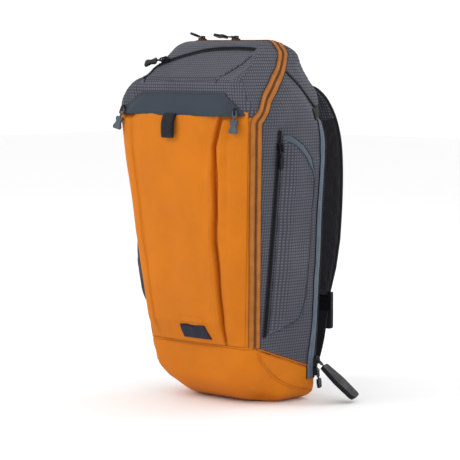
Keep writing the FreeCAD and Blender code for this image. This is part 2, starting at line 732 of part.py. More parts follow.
def build_strap_webbing():
    """The stiff webbing sewn down the outside of each strap, where the chest strap's sliders ride."""
    t = D["web_thick"] / 2
    first, last = 3, 8
    path = beside(STRAP_PATH, D["strap_thick"] / 2 + LIFT + t + 0.2)[first:last]
    for label, side in (("strap_webbing_right", 1), ("strap_webbing_left", -1)):
        feature(label, arc_strip(path, lambda i: (D["sternum_web"] / 2 - 1, t), lambda i: side * STRAP_X[first + i]))


def build_harness_yoke():
    """The sewn bar across the top of the back that both straps and the haul loop come out of."""
    yoke = prism_yz([(88.3, 468, 0), (96, 470, 3), (102.4, 480, 3), (102.4, 494, 3), (96, 499, 4), (88.3, 500, 0)], -88, 88)
    behind = skin(LIFT)
    feature("harness_yoke", yoke.cut(behind))


def build_haul_loop():
    outer = [(97, 501), (109, 501), (119, 524, 6), (110, 536, 8), (98, 532, 6)]
    inner = [(99.5, 503), (107.6, 503), (116.6, 524, 4), (109.4, 533.6, 6), (100.2, 530.4, 4)]
    loop = prism_yz(outer, -12.5, 12.5).cut(prism_yz(inner, -FAR, FAR))
    feature("haul_loop", loop)


def build_side_tabs():
    """Flat webbing tabs sewn in at the shoulder of each side."""
    for label, side in (("side_tab_right", 1), ("side_tab_left", -1)):
        feature(label, side_sheet([(52, 438), (76, 444), (73, 460), (49, 454)], side, LIFT, LIFT + 3.2))


def build_ladder_lock(label, side):
    """A ladder lock: a flat frame with two slots under a round top bar."""
    body = new_body(label)
    w, n = D["lock_width"], D["lock_length"]
    rectangle_on(body, "XZ_Plane", "lock_width", "lock_length", (0.0, -n / 2 + 2.0))
    frame = body.Group[-1]
    pad(body, frame, "lock_thick", both_ways=True)
    slots = [[(-w / 2 + 4, top - 5), (w / 2 - 4, top - 5), (w / 2 - 4, top), (-w / 2 + 4, top)] for top in (-2.0, -11.0, -19.5)]
    cut = body.newObject("PartDesign::Pocket", body.Name + "Slots")
    cut.Profile = sketch_on(body, "XZ_Plane", slots)
    cut.Type = "ThroughAll"
    cut.SideType = "Symmetric"
    doc.recompute()
    body.Placement = FreeCAD.Placement(V(side * STRAP_X[-1], LOCK_Y, LOCK_Z), ROTATE())
    return body


def build_lower_webbing():
    """From the base of the back up to each ladder lock, ending in a keeper of folded webbing."""
    t = D["web_thick"] / 2
    path = [(90, 34), (94, 40), (112, 68), (126, 96), (134, 118), (137.5, 126)]
    xs = [97, 97, 94, 90, 86, 85]
    for label, side in (("lower_webbing_right", 1), ("lower_webbing_left", -1)):
        feature(label, arc_strip(path, lambda i: (11.0, t), lambda i: side * xs[i]))
    for label, side in (("web_keeper_right", 1), ("web_keeper_left", -1)):
        feature(label, prism_xz([(side * 97, 102, 4), (side * 97, 138, 4), (side * 73, 138, 4), (side * 73, 102, 4)][::side],
                                LOCK_Y + 3.1, LOCK_Y + 9.0))


build_strap_webbing()
build_harness_yoke()
build_haul_loop()
build_side_tabs()
build_ladder_lock("ladder_lock_right", 1)
build_ladder_lock("ladder_lock_left", -1)
build_lower_webbing()


# ---------------------------------------------------------------- all the sliders, pulls and toggles
LONG_GRIP = [(-5.0, -22.0, 1.0), (-6.8, -25.0, 1.4), (-4.2, -33.0, 2.5), (-7.4, -41.0, 1.6), (-5.6, -45.0, 1.4)]
STUB_GRIP = [(-5.6, -12.0, 1.0), (-6.6, -16.0, 1.4), (-5.2, -26.0, 1.4)]
PIVOTS = {}


def zip_pair(name, place, grip, swing=0.0, roll=0.0):
    make_slider(name + "_slider", place)
    make_pull(name + "_pull", place, grip, swing, roll)
    hinge = hinge_of(place)
    PIVOTS[name] = (hinge.Base, place.Rotation.multVec(V(1, 0, 0)), place.Rotation.multVec(V(0, 0, 1)))


def top_zip_place(degrees):
    angle = math.radians(degrees)
    across, up_slope = ARC_CENTRE[0] + ARC_RADIUS * math.cos(angle), ARC_CENTRE[1] + ARC_RADIUS * math.sin(angle)
    normal = SLOPE_PLACE.Rotation.multVec(V(0, 0, 1))
    along = SLOPE_PLACE.Rotation.multVec(V(math.sin(angle), -math.cos(angle), 0))
    return frame_at(SLOPE_PLACE.multVec(V(across, up_slope, LIFT_TO_COIL)), along, normal)


def make_staple(label, place):
    """A moulded staple that a toggle's cord loop hangs in."""
    body = new_body(label)
    reach, top = D["bail_reach"] / 2, D["bail_top"]
    bridge = [(0.0, -reach), (top, -reach, 1.6), (top, reach, 1.6), (0.0, reach)]
    window = [(BAIL_WINDOW[0] - 2, -2.9), (BAIL_WINDOW[1], -2.9, 0.5), (BAIL_WINDOW[1], 2.9, 0.5), (BAIL_WINDOW[0] - 2, 2.9)]
    pad(body, sketch_on(body, "YZ_Plane", [bridge, window]), "bail_width", both_ways=True)
    body.Placement = place


def toggle(name, place, swing, roll):
    make_staple(name + "_staple", place)
    make_pull(name, place, STAR_GRIP, swing, roll)
    PIVOTS[name] = (hinge_of(place).Base, place.Rotation.multVec(V(1, 0, 0)), V(0, 0, 1))


def make_handle(label, place, swing):
    """The big moulded handle on the rear zipper: a tapered plate with a recessed middle."""
    body = new_body(label)
    w, n = D["handle_width"] / 2, D["handle_length"]
    pad(body, sketch_on(body, "XZ_Plane", [mirrored(EYE + [(-1.4, -13.0)]), EYE_HOLE]), "pull_thick", both_ways=True)
    plate = [(-w * 0.62, -12.0, 4.0), (-w, -n * 0.55, 30.0), (-w * 0.86, -n, 7.0)]
    pad(body, sketch_on(body, "XZ_Plane", [mirrored(plate)]), "handle_thick", both_ways=True)
    recess = [(-w * 0.4, -20.0, 3.0), (-w * 0.66, -n * 0.55, 20.0), (-w * 0.56, -n + 9, 5.0)]
    cut = pocket(body, sketch_on(body, "XZ_Plane", [mirrored(recess)], D["handle_thick"] / 2), "Sizes.handle_thick * 0.2")
    body.Tip = cut
    body.Placement = hinge_of(place).multiply(FreeCAD.Placement(V(0, 0, 0), ROTATE(V(1, 0, 0), swing)))
    return body


TOP_CROSSING = 17.3
zip_pair("main_zip_right", on_skin((6, TOP_CROSSING, 900), (6, TOP_CROSSING, 400), (1, 0, 0), LIFT_TO_COIL), LONG_GRIP, 4)
zip_pair("main_zip_left", on_skin((-66, TOP_CROSSING, 900), (-66, TOP_CROSSING, 400), (1, 0, 0), LIFT_TO_COIL),
         STUB_GRIP, 14)
zip_pair("top_zip", top_zip_place(124.0), STAR_GRIP, 2, -6)
for side, name in ((1, "side_zip_right"), (-1, "side_zip_left")):
    zip_pair(name, on_skin((side * 300, SIDE_ZIP_Y, 400), (0, SIDE_ZIP_Y, 400), (0, 0, 1), LIFT_TO_COIL),
             TAPER_GRIP, 3)
REAR_SLIDER_Z, REAR_STOP_Z = 62.0, 45.0
rear_place = on_skin((300, REAR_ZIP[0][0], REAR_SLIDER_Z), (0, REAR_ZIP[0][0], REAR_SLIDER_Z), (0, 0, 1), LIFT_TO_COIL)
make_slider("rear_zip_slider", rear_place)
make_handle("rear_handle", rear_place, 52.0)
PIVOTS["rear_zip"] = (hinge_of(rear_place).Base, rear_place.Rotation.multVec(V(1, 0, 0)),
                      rear_place.Rotation.multVec(V(0, 0, 1)))
zip_pair("rear_stop", on_skin((300, REAR_ZIP[0][0], REAR_STOP_Z), (0, REAR_ZIP[0][0], REAR_STOP_Z), (0, 0, 1), LIFT_TO_COIL),
         STUB_GRIP, 8, 7)
toggle("toggle_right", on_skin((118, -300, 455), (118, 0, 455), (0, 0, 1), 1.6), 12, 0)
toggle("toggle_left", on_skin((-121, -300, 455), (-121, 0, 455), (0, 0, 1), 1.6), 18, -12)


# ---------------------------------------------------------------- chest strap
CHEST_Z, CHEST_Y = 391.0, 167.2             # the middle of the chest webbing
WEB_ENDS = {1: 18.3, -1: 22.0}              # how far from the middle each webbing stops


def build_chest_strap():
    """Two clips that ride the straps' webbing, a webbing each, and a side-release buckle between them."""
    half_web = D["sternum_web"] / 2
    for label, side in (("chest_strap_right", 1), ("chest_strap_left", -1)):
        body = new_body(label)
        channel = [(-15, 1.2, 0.8), (-12.2, 1.2), (-12.2, 3.4), (12.2, 3.4), (12.2, 1.2), (15, 1.2, 0.8), (15, 8.0, 1.6),
                   (-15, 8.0, 1.6)]
        pad(body, sketch_on(body, "XY_Plane", [channel], -8.0), "Sizes.slider_width * 1.6")
        near, far = 12.0, 74.0 - WEB_ENDS[side]
        web = [(-side * near, 4.4), (-side * far, 4.4), (-side * far, 6.0), (-side * near, 6.0)]
        pad(body, sketch_on(body, "XY_Plane", [web], -half_web), "sternum_web")
        body.Placement = FreeCAD.Placement(V(side * 74.0, CHEST_Y - 5.2, CHEST_Z), ROTATE(V(1, 0, 0), -1.3))
    middle_y = CHEST_Y
    female = box(-6, 18, middle_y - 4.6, middle_y + 4.6, CHEST_Z - 14, CHEST_Z + 14)
    female = female.makeFillet(1.6, [e for e in female.Edges if abs(e.tangentAt(e.FirstParameter).x) > 0.9])
    cavity = box(-7, 12, middle_y - 2.4, middle_y + 2.4, CHEST_Z - 11, CHEST_Z + 11)
    windows = box(-1, 9, middle_y - 2.3, middle_y + 2.3, CHEST_Z - 20, CHEST_Z + 20)
    feature("buckle_female", female.cut(cavity).cut(windows))
    male = box(-24, -6.4, middle_y - 4.0, middle_y + 4.0, CHEST_Z - 13, CHEST_Z + 13)
    male = male.makeFillet(1.4, [e for e in male.Edges if abs(e.tangentAt(e.FirstParameter).x) > 0.9])
    tunnel = box(-25, -5, middle_y - 1.3, middle_y + 1.3, CHEST_Z - 10.4, CHEST_Z + 10.4)
    male = male.cut(tunnel)
    for side in (1, -1):
        centre = CHEST_Z + side * 8.4
        male = male.fuse(box(-8, 7.5, middle_y - 1.9, middle_y + 1.9, centre - 2.2, centre + 2.2))
    feature("buckle_male", male)


build_chest_strap()

# ---------------------------------------------------------------- checks and export
doc.recompute()
for item in PARTS:
    shape = item.Shape
    bad = [s for s in item.State if s in ("Invalid", "Error")]
    if bad or shape.isNull() or not shape.isValid() or len(shape.Solids) != 1 or shape.Volume <= 0:
        raise RuntimeError(f"{item.Label}: {bad} solids {len(shape.Solids)} valid {shape.isValid()}")
    shape.exportStep(f"parts/{item.Label}.step")
print(len(PARTS), "sub-parts")
PIVOTS["top_zip_arc"] = (SLOPE_PLACE.multVec(V(*ARC_CENTRE, 0)), SLOPE_PLACE.Rotation.multVec(V(0, 0, 1)), V(0, 0, 0))
for name, (point, hinge_axis, chain_axis) in PIVOTS.items():
    print(name, [round(v, 2) for v in point], [round(v, 4) for v in hinge_axis], [round(v, 4) for v in chain_axis])
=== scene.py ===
"""Hiking daypack: fabric shells, zippers, pockets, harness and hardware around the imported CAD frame."""
import math

import bmesh
import bpy
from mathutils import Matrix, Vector, noise
from mathutils.bvhtree import BVHTree


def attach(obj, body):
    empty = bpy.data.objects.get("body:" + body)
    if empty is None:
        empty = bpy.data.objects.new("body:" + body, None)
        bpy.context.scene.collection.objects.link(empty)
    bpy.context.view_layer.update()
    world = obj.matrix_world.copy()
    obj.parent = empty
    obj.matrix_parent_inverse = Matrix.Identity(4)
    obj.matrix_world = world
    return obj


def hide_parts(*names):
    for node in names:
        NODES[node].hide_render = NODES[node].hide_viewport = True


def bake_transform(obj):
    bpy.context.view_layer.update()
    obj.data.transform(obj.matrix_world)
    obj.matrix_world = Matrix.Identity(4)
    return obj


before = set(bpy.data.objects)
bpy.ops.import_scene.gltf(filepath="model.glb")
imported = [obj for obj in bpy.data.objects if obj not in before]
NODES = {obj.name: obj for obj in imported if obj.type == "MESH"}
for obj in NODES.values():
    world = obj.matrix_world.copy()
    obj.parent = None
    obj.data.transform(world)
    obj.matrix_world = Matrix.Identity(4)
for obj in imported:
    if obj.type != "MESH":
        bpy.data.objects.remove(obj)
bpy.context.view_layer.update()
MM = 0.001


# ---------------------------------------------------------------- shape helpers
def clamp(x, low=0.0, high=1.0):
    return max(low, min(high, x))


def smooth(a, b, x):
    t = clamp((x - a) / (b - a))
    return t * t * (3 - 2 * t)


def bump(x, centre, width):
    """1 at the centre, falling to 0 a width away."""
    return math.exp(-((x - centre) / width) ** 2)


def along(table, x):
    """Straight-line reading of a sorted table of (x, value)."""
    if x <= table[0][0]:
        return table[0][1]
    for (x0, y0), (x1, y1) in zip(table, table[1:]):
        if x <= x1:
            return y0 + (y1 - y0) * (x - x0) / (x1 - x0)
    return table[-1][1]


def front_face(z):
    """Y of the front face at a height, in millimetres, as in the CAD."""
    return -53.0 - 0.0961 * z


def front_half(z):
    return 96.0 + 0.1054 * z


def ripple(p, scale, stretch=(1, 1, 1), seed=0.0):
    """Smooth noise from -1 to 1 at a point in millimetres; stretch over 1 makes it finer along that axis."""
    q = Vector((p[0] * stretch[0], p[1] * stretch[1], p[2] * stretch[2])) / scale
    return noise.noise(q + Vector((seed, seed * 1.7, -seed)), noise_basis="PERLIN_ORIGINAL")


def crease(p, scale, stretch=(1, 1, 1), seed=0.0):
    """Sharp-crested folds, 0 to 1."""
    return (1.0 - abs(ripple(p, scale, stretch, seed)) * 2.2) if abs(ripple(p, scale, stretch,
        seed)) < 0.45 else 0.0


def new_object(name, verts, faces, smooth_shading=True):
    mesh = bpy.data.meshes.new(name)
    mesh.from_pydata([v if isinstance(v, tuple) else tuple(v) for v in verts], [], faces)
    mesh.validate()
    mesh.update()
    if smooth_shading:
        mesh.polygons.foreach_set("use_smooth", [True] * len(mesh.polygons))
    obj = bpy.data.objects.new(name, mesh)
    bpy.context.scene.collection.objects.link(obj)
    return obj


def finish_piece(obj, body, material, replaces=()):
    obj.data.materials.clear()
    obj.data.materials.append(material)
    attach(obj, body)
    if replaces:
        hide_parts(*replaces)
    return obj


def apply_modifiers(obj):
    depsgraph = bpy.context.evaluated_depsgraph_get()
    mesh = bpy.data.meshes.new_from_object(obj.evaluated_get(depsgraph))
    old = obj.data
    obj.modifiers.clear()
    obj.data = mesh
    bpy.data.meshes.remove(old)
    return obj


def modified(obj, *steps):
    """Adds modifiers given as (type, settings) and applies them all."""
    for kind, settings in steps:
        modifier = obj.modifiers.new(kind.title(), kind)
        for key, value in settings.items():
            setattr(modifier, key, value)
    return apply_modifiers(obj)


def join(name, pieces):
    """One object out of several, keeping each one's material slots."""
    target = pieces[0]
    with bpy.context.temp_override(active_object=target, selected_editable_objects=pieces, object=target,
                                   selected_objects=pieces):
        bpy.ops.object.join()
    target.name = name
    return target


def merged(name, meshes, material_index=None):
    """One object from (verts, faces) lists; material_index gives one slot number per list."""
    verts, faces, slots = [], [], []
    for k, (vs, fs) in enumerate(meshes):
        base = len(verts)
        verts += vs
        faces += [tuple(base + i for i in f) for f in fs]
        slots += [material_index[k] if material_index else 0] * len(fs)
    obj = new_object(name, verts, faces)
    if material_index and len(slots) == len(obj.data.polygons):
        obj.data.polygons.foreach_set("material_index", slots)
    return obj


# ---------------------------------------------------------------- materials
class Nodes:
    """Builds a node tree in few words: a socket passed as an input is linked, and a number is set."""

    def __init__(self, name, colour, rough, sheen=0.0, specular=0.5):
        self.mat = bpy.data.materials.new(name)
        self.mat.use_nodes = True
        self.tree = self.mat.node_tree
        self.bsdf = self.tree.nodes["Principled BSDF"]
        self.bsdf.inputs["Base Color"].default_value = (*colour, 1.0)
        self.bsdf.inputs["Roughness"].default_value = rough
        self.bsdf.inputs["Sheen Weight"].default_value = sheen
        self.bsdf.inputs["Sheen Roughness"].default_value = 0.5
        self.bsdf.inputs["Specular IOR Level"].default_value = specular
        self.where = self.add("ShaderNodeTexCoord")

    def add(self, kind, *values, **settings):
        node = self.tree.nodes.new(kind)
        for key, value in settings.items():
            setattr(node, key, value)
        for socket, value in zip(node.inputs, values):
            self.feed(socket, value)
        return node

    def feed(self, socket, value):
        if value is None:
            return
        if isinstance(value, bpy.types.NodeSocket):
            self.tree.links.new(value, socket)
        else:
            socket.default_value = value

    def math(self, operation, a, b=None, c=None):
        return self.add("ShaderNodeMath", a, b, c, operation=operation).outputs[0]

    def axis(self, direction):
        """Position along a direction, in metres."""
        node = self.add("ShaderNodeVectorMath", self.where.outputs["Object"], direction,
                        operation="DOT_PRODUCT")
        return node.outputs["Value"]

    def choose(self, test, yes, no):
        """One number or the other, by a 0 to 1 test."""
        kept = self.math("MULTIPLY", test, yes)
        other = self.math("MULTIPLY", self.math("SUBTRACT", 1.0, test), no)
        return self.math("ADD", kept, other)

    def noise(self, scale, detail=2.0, rough=0.5, stretch=None):
        vector = self.where.outputs["Object"]
        if stretch:
            vector = self.add("ShaderNodeVectorMath", vector, stretch, operation="MULTIPLY").outputs[0]
        node = self.add("ShaderNodeTexNoise", vector)
        node.inputs["Scale"].default_value = scale
        node.inputs["Detail"].default_value = detail
        node.inputs["Roughness"].default_value = rough
        return node.outputs[0]

    def ramp(self, value, low, high, to_low=0.0, to_high=1.0):
        node = self.add("ShaderNodeMapRange", value, low, high, to_low, to_high,
                        interpolation_type="SMOOTHSTEP")
        return node.outputs[0]

    def colours(self, factor, first, second):
        node = self.add("ShaderNodeMix", data_type="RGBA")
        self.feed(node.inputs[0], factor)
        for socket, colour in ((node.inputs[6], first), (node.inputs[7], second)):
            self.feed(socket, colour if isinstance(colour, bpy.types.NodeSocket) else (*colour, 1.0))
        return node.outputs[2]

    def done(self, colour=None, height=None, depth=0.0003, rough=None):
        if colour is not None:
            self.feed(self.bsdf.inputs["Base Color"], colour)
        if rough is not None:
            self.feed(self.bsdf.inputs["Roughness"], rough)
        if height is not None:
            node = self.add("ShaderNodeBump")
            node.inputs["Strength"].default_value = 0.6
            node.inputs["Distance"].default_value = depth
            self.feed(node.inputs["Height"], height)
            self.feed(self.bsdf.inputs["Normal"], node.outputs[0])
        return self.mat


def shade(colour, k):
    return tuple(clamp(c * k) for c in colour)


def grid_lines(n, u, v, cell, width):
    """Two sets of thread lines, 1 on a line and 0 between."""
    lines = []
    for w in (u, v):
        saw = n.math("PINGPONG", n.math("DIVIDE", w, cell), 0.5)
        lines.append(n.ramp(saw, width, width * 0.45))
    return n.math("MAXIMUM", *lines)


def panel_axes(n):
    """Cloth coordinates on a panel, chosen by which way the panel faces: side, upright, slope or top."""
    facing = n.add("ShaderNodeSeparateXYZ", n.where.outputs["Normal"]).outputs
    side = n.math("GREATER_THAN", n.math("ABSOLUTE", facing[0]), 0.62)
    sloping = n.math("GREATER_THAN", facing[2], 0.35)
    level = n.math("GREATER_THAN", facing[2], 0.93)
    rear = n.math("GREATER_THAN", facing[1], 0.0)
    slope = n.choose(rear, n.axis((0, -0.634, 0.773)), n.axis((0, 0.7986, 0.6019)))
    upright = n.choose(sloping, n.choose(level, n.axis((0, 1, 0)), slope), n.axis((0, 0, 1)))
    u = n.choose(side, n.axis((0, 1, 0)), n.axis((1, 0, 0)))
    v = n.choose(side, n.axis((0, 0, 1)), upright)
    return u, v


def woven(n, u, v, pitch):
    """Over-and-under threads as a height."""
    a = n.math("SINE", n.math("MULTIPLY", u, 2 * math.pi / pitch))
    b = n.math("SINE", n.math("MULTIPLY", v, 2 * math.pi / pitch))
    return n.math("MULTIPLY", a, b)


def coated_cloth(name, colour, rough=0.78, sheen=0.02, pitch=0.0011, mottling=0.09):
    n = Nodes(name, colour, rough, sheen, 0.16)
    u, v = panel_axes(n)
    cloud = n.noise(9.0, 4.0, 0.6)
    fine = n.noise(900.0, 2.0)
    tone = n.math("ADD", n.math("MULTIPLY", cloud, 0.75), n.math("MULTIPLY", fine, 0.25))
    tint = n.colours(n.ramp(tone, 0.3, 0.7), shade(colour, 1 - mottling), shade(colour, 1 + mottling))
    height = n.math("ADD", n.math("MULTIPLY", woven(n, u, v, pitch), 0.35),
                    n.math("MULTIPLY", n.noise(260.0, 3.0), 0.5))
    return n.done(tint, height, 0.00035, n.ramp(cloud, 0.2, 0.8, rough - 0.07, rough + 0.07))


def ripstop_cloth(name, field, line, cell=0.0046, width=0.30, rough=0.78):
    n = Nodes(name, field, rough, 0.02, 0.16)
    u, v = panel_axes(n)
    lines = grid_lines(n, u, v, cell, width)
    cloud = n.noise(11.0, 4.0, 0.6)
    fine = n.noise(700.0, 2.0)
    worn = n.colours(n.ramp(cloud, 0.3, 0.72), shade(field, 0.82), shade(field, 1.12))
    speck = n.colours(n.math("MULTIPLY", fine, 0.35), worn, shade(field, 0.55))
    tint = n.colours(n.math("MULTIPLY", lines, 0.85), speck, line)
    height = n.math("ADD", n.math("MULTIPLY", lines, 0.8), n.math("MULTIPLY", woven(n, u, v, 0.0009), 0.3))
    return n.done(tint, height, 0.00035)


def ribbed_cloth(name, colour, direction, pitch=0.0016, cross=(0, 0, 1), rough=0.75, mottling=0.12):
    """Tapes and webbing: ribs along one direction, crossed by finer threads."""
    n = Nodes(name, colour, rough, 0.02, 0.2)
    ribs = n.math("SINE", n.math("MULTIPLY", n.axis(direction), 2 * math.pi / pitch))
    threads = n.math("SINE", n.math("MULTIPLY", n.axis(cross), 2 * math.pi / (pitch * 0.8)))
    height = n.math("ADD", ribs, n.math("MULTIPLY", threads, 0.5))
    # The rib term paints the rib grooves darker and the crests lighter, as painted shade following the ribs;
    # the noise term is the tape's own mottled tone.
    tone = n.math("ADD", n.noise(60.0, 3.0), n.math("MULTIPLY", ribs, 0.12))
    tint = n.colours(n.ramp(tone, 0.3, 0.75), shade(colour, 1 - mottling), shade(colour, 1 + mottling))
    return n.done(tint, height, 0.00025)


def spacer_mesh(name, colour, hole=0.0028):
    """Open knitted mesh: a lattice of small dark holes between rounded cords, the holes painted dark as
    painted shade and the cords painted light.
    """
    n = Nodes(name, colour, 0.85, 0.15, 0.25)
    cells = n.add("ShaderNodeTexVoronoi", n.where.outputs["Object"], feature="DISTANCE_TO_EDGE")
    cells.inputs["Scale"].default_value = 1.0 / hole
    cells.inputs["Randomness"].default_value = 0.35
    cord = n.ramp(cells.outputs["Distance"], 0.10, 0.28)
    # Painted light and shade: lighter on the raised cords and darker down in the holes, following the knit's
    # relief.
    tint = n.colours(cord, shade(colour, 1.9), shade(colour, 0.35))
    return n.done(tint, n.math("SUBTRACT", 1.0, cord), 0.0007)


def moulded(name, colour, rough=0.48, grain=0.00012):
    """Moulded plastic: fine grain, faint flow marks, and a lighter worn bloom."""
    n = Nodes(name, colour, rough, 0.0, 0.18)
    flow = n.noise(45.0, 4.0, 0.6)
    grainy = n.noise(1500.0, 2.0)
    tint = n.colours(n.ramp(flow, 0.35, 0.75), shade(colour, 0.85), shade(colour, 1.35))
    return n.done(tint, grainy, grain, n.ramp(flow, 0.3, 0.7, rough - 0.10, rough + 0.12))


ORANGE = (0.560, 0.160, 0.006)
TAPE_ORANGE = (0.41, 0.145, 0.026)
GREY = (0.130, 0.133, 0.155)
GREY_LINE = (0.036, 0.039, 0.054)
SLATE = (0.035, 0.044, 0.059)
REAR_SLATE = (0.100, 0.130, 0.170)
BLACK = (0.010, 0.011, 0.014)

M = {
    "orange": coated_cloth("orange_coated_cloth", ORANGE),
    "ripstop": ripstop_cloth("grey_ripstop", GREY, GREY_LINE),
    "slate": coated_cloth("slate_coated_cloth", SLATE, 0.7, 0.02, 0.0014, 0.14),
    "slate_lining": coated_cloth("slate_gusset_cloth", (0.072, 0.090, 0.115), 0.78, 0.02, 0.0012, 0.12),
    "lining": coated_cloth("grey_lining", (0.17, 0.17, 0.19), 0.78, 0.02, 0.0008, 0.08),
    "tape": ribbed_cloth("orange_zip_tape", TAPE_ORANGE, (0.4, 0.8, 0.45), 0.0013, (0, 0.3, 1)),
    "coil": ribbed_cloth("brown_coil", (0.20, 0.072, 0.020), (0, 0.2, 1), 0.0012, (1, 1, 0), 0.5),
    "zip_welt": ribbed_cloth("orange_welt", (0.22, 0.066, 0.009), (0, 0.6, 0.8), 0.0012, (1, 0, 0)),
    "piping": ribbed_cloth("black_piping", (0.014, 0.014, 0.018), (0, 0.6, 0.8), 0.0012, (1, 0, 0)),
    "rear_tape": ribbed_cloth("slate_zip_tape", REAR_SLATE, (0.3, 1, 0), 0.0015, (0, 0, 1)),
    "black_tape": ribbed_cloth("black_zip_tape", (0.012, 0.012, 0.016), (0.3, 1, 0.2), 0.0014, (0, 0, 1)),
    "webbing": ribbed_cloth("black_webbing", BLACK, (1, 0, 0), 0.0022, (0, 0.3, 1)),
    "orange_webbing": ribbed_cloth("orange_webbing", (0.60, 0.19, 0.025), (1, 0, 0), 0.0022, (0, 0.3, 1)),
    "stretch": spacer_mesh("black_stretch_knit", (0.014, 0.014, 0.018), 0.0023),
    "mesh": spacer_mesh("black_spacer_mesh", (0.016, 0.016, 0.020)),
    "plastic": moulded("black_moulded_plastic", (0.006, 0.0065, 0.009), 0.5),
    "slate_plastic": moulded("slate_moulded_plastic", (0.060, 0.074, 0.090), 0.55),
    "thread": ribbed_cloth("dark_thread", (0.05, 0.05, 0.06), (0, 0, 1), 0.0008),
    "orange_thread": ribbed_cloth("orange_thread", (0.42, 0.13, 0.02), (0, 0, 1), 0.0008),
    "sheet": moulded("frame_sheet_plastic", (0.03, 0.03, 0.035), 0.5),
    "tab": coated_cloth("dark_tab_cloth", (0.020, 0.021, 0.036), 0.7, 0.02, 0.0012, 0.15),
}


# ---------------------------------------------------------------- fabric shells
def shell_from(name, nodes, voxel, shape, smoothing=4, swell=1.2):
    """A soft closed shell from CAD panels: evenly meshed, its edges softened, then moved by
    shape(point, normal)."""
    copies = []
    for node in nodes:
        copy = bpy.data.objects.new(name, NODES[node].data.copy())
        bpy.context.scene.collection.objects.link(copy)
        copies.append(copy)
    obj = join(name, copies) if len(copies) > 1 else copies[0]
    modified(obj, ("REMESH", dict(mode="VOXEL", voxel_size=voxel * MM, adaptivity=0.0,
                                  use_smooth_shade=True)),
             ("SMOOTH", dict(factor=0.5, iterations=smoothing)),
             ("DISPLACE", dict(strength=swell * MM, mid_level=0.0)))
    mesh = obj.data
    moves = []
    for v in mesh.vertices:
        p = v.co / MM
        moves.append(shape(p, v.normal))
    for v, move in zip(mesh.vertices, moves):
        v.co += (Vector(move) + shoulder(v.co / MM)) * MM
        v.co.z = max(v.co.z, 0.0)
    mesh.update()
    mesh.polygons.foreach_set("use_smooth", [True] * len(mesh.polygons))
    return obj


def shoulder(p):
    """The soft pull inwards at the rear shoulders, and the hood's slump on its left, in millimetres."""
    x, y, z = p
    amount = smooth(396, 468, z) * smooth(16, 88, y) * smooth(56, 128, abs(x)) * smooth(556, 512, z)
    pull = Vector((-math.copysign(17.0, x) * amount, -7.0 * amount, 0))
    forward = smooth(zip_y(z) + 62, zip_y(z) - 6, y)
    pull.x += 18.0 * smooth(-66, -124, x) * smooth(450, 505, z) * forward
    pull.z -= 19.0 * smooth(-66, -112, x) * smooth(462, 540, z) * forward
    return pull


def zip_y(z):
    """Y of the main zipper's centre line on the bag's side at a height."""
    return along([(0, -40.0), (92, front_face(92) + 13), (438, front_face(438) + 13), (472, -56), (513, -8),
                  (536, 12),
                  (560, 18)], z)


def rear_seam_y(z):
    """Y of the piping between a side panel and the sloping top rear."""
    return along([(428, 96), (514, 2), (568, -60)], z)


def side_shape(p, normal):
    """Soft fill in a side panel: fuller in the middle, pulled in at its seams, with loose folds
    near the corners."""
    x, y, z = p
    side = 1 if x > 0 else -1
    if abs(x) < 92:
        return (0, 0, 0)
    from_zip = y - zip_y(z)
    from_back = 88 - y
    from_boot = z - along([(-46, 92), (95, 42)], y)
    from_top = (rear_seam_y(z) - y) if z > 440 else 99
    seam = smooth(4, 40, from_zip) * smooth(0, 42, from_back) * smooth(0, 60, from_boot) * smooth(0, 40,
        from_top)
    seam *= 1 - bump(y, -32, 15) * smooth(436, 424, z)
    full = 6.5 * seam * (0.6 + 0.4 * bump(z, 260, 170))
    loose = 2.6 * ripple(p, 46, (0.4, 1.0, 0.55), 3.1 if side > 0 else 8.4) + 1.4 * ripple(p, 21,
        (0.4, 0.7, 1.0), 5.0)
    drag = 1.8 * crease((x, y + 0.5 * z, z - 0.8 * y), 60, (0.3, 1.0, 0.35), 2.0) * smooth(330, 470, z)
    return ((full + (loose + drag) * (0.1 + 0.9 * seam)) * side, 0, 0)


def boot_shape(p, normal):
    """The base's coated cloth: wide shallow dents, gathers under the front seam and darts at the corners."""
    x, y, z = p
    rise = smooth(4, 40, z)
    dent = 2.2 * ripple(p, 55, (0.7, 0.7, 1.1), 1.3) + 1.0 * ripple(p, 24, (0.7, 0.7, 1.4), 9.2)
    gathers = 1.3 * ripple((x, 0, z * 0.25), 13, (1, 1, 1), 4.4) * smooth(40, 90, z) * smooth(-30, -50, y)
    tuck = -2.2 * bump(z - abs(x) * 0.15, 52, 9) * smooth(86, 104, abs(x)) * smooth(-20, -45, y)
    amount = (dent + gathers + tuck) * rise * smooth(0, 14, abs(z - 92) + 6 if y < -40 else 20)
    full = 2.5 * smooth(12, 50, z) * smooth(94, 60, z) * smooth(110, 60, abs(x)) * smooth(-20, -45, y)
    low = clamp(1 - z / 76.0) ** 2
    corner = smooth(46, 112, abs(x)) * smooth(30, -50, y)
    pull = 29.0 * low * corner
    under = low * smooth(30, -50, y)
    move = [c * (amount + full) for c in normal]
    return (move[0] - math.copysign(pull * 0.9, x), move[1] + pull + 13.0 * under,
            move[2] + 5.0 * low * corner + 5.0 * under)


def hood_shape(p, normal):
    """The hood bellies between the yoke and the zipper, with a soft ridge at each side; it stays
    level at its slider."""
    x, y, z = p
    fold = 1.9 * ripple(p, 50, (0.8, 0.8, 0.8), 6.0) + 1.2 * ripple(p, 20, (0.5, 1, 1), 2.0)
    edge = smooth(0, 26, zip_y(z) - y) if abs(x) > 84 else smooth(14, -8, y)
    ridge = 2.4 * bump(abs(x) - 0.35 * (z - 450), 96, 7) * smooth(452, 480, z) * smooth(540, 500, z)
    at_slider = 1 - math.exp(-((x + 60) ** 2 + (y + 72) ** 2 + (z - 532) ** 2) / 24.0 ** 2)
    out = (fold * edge + ridge * edge) * at_slider
    return tuple(c * out for c in normal)


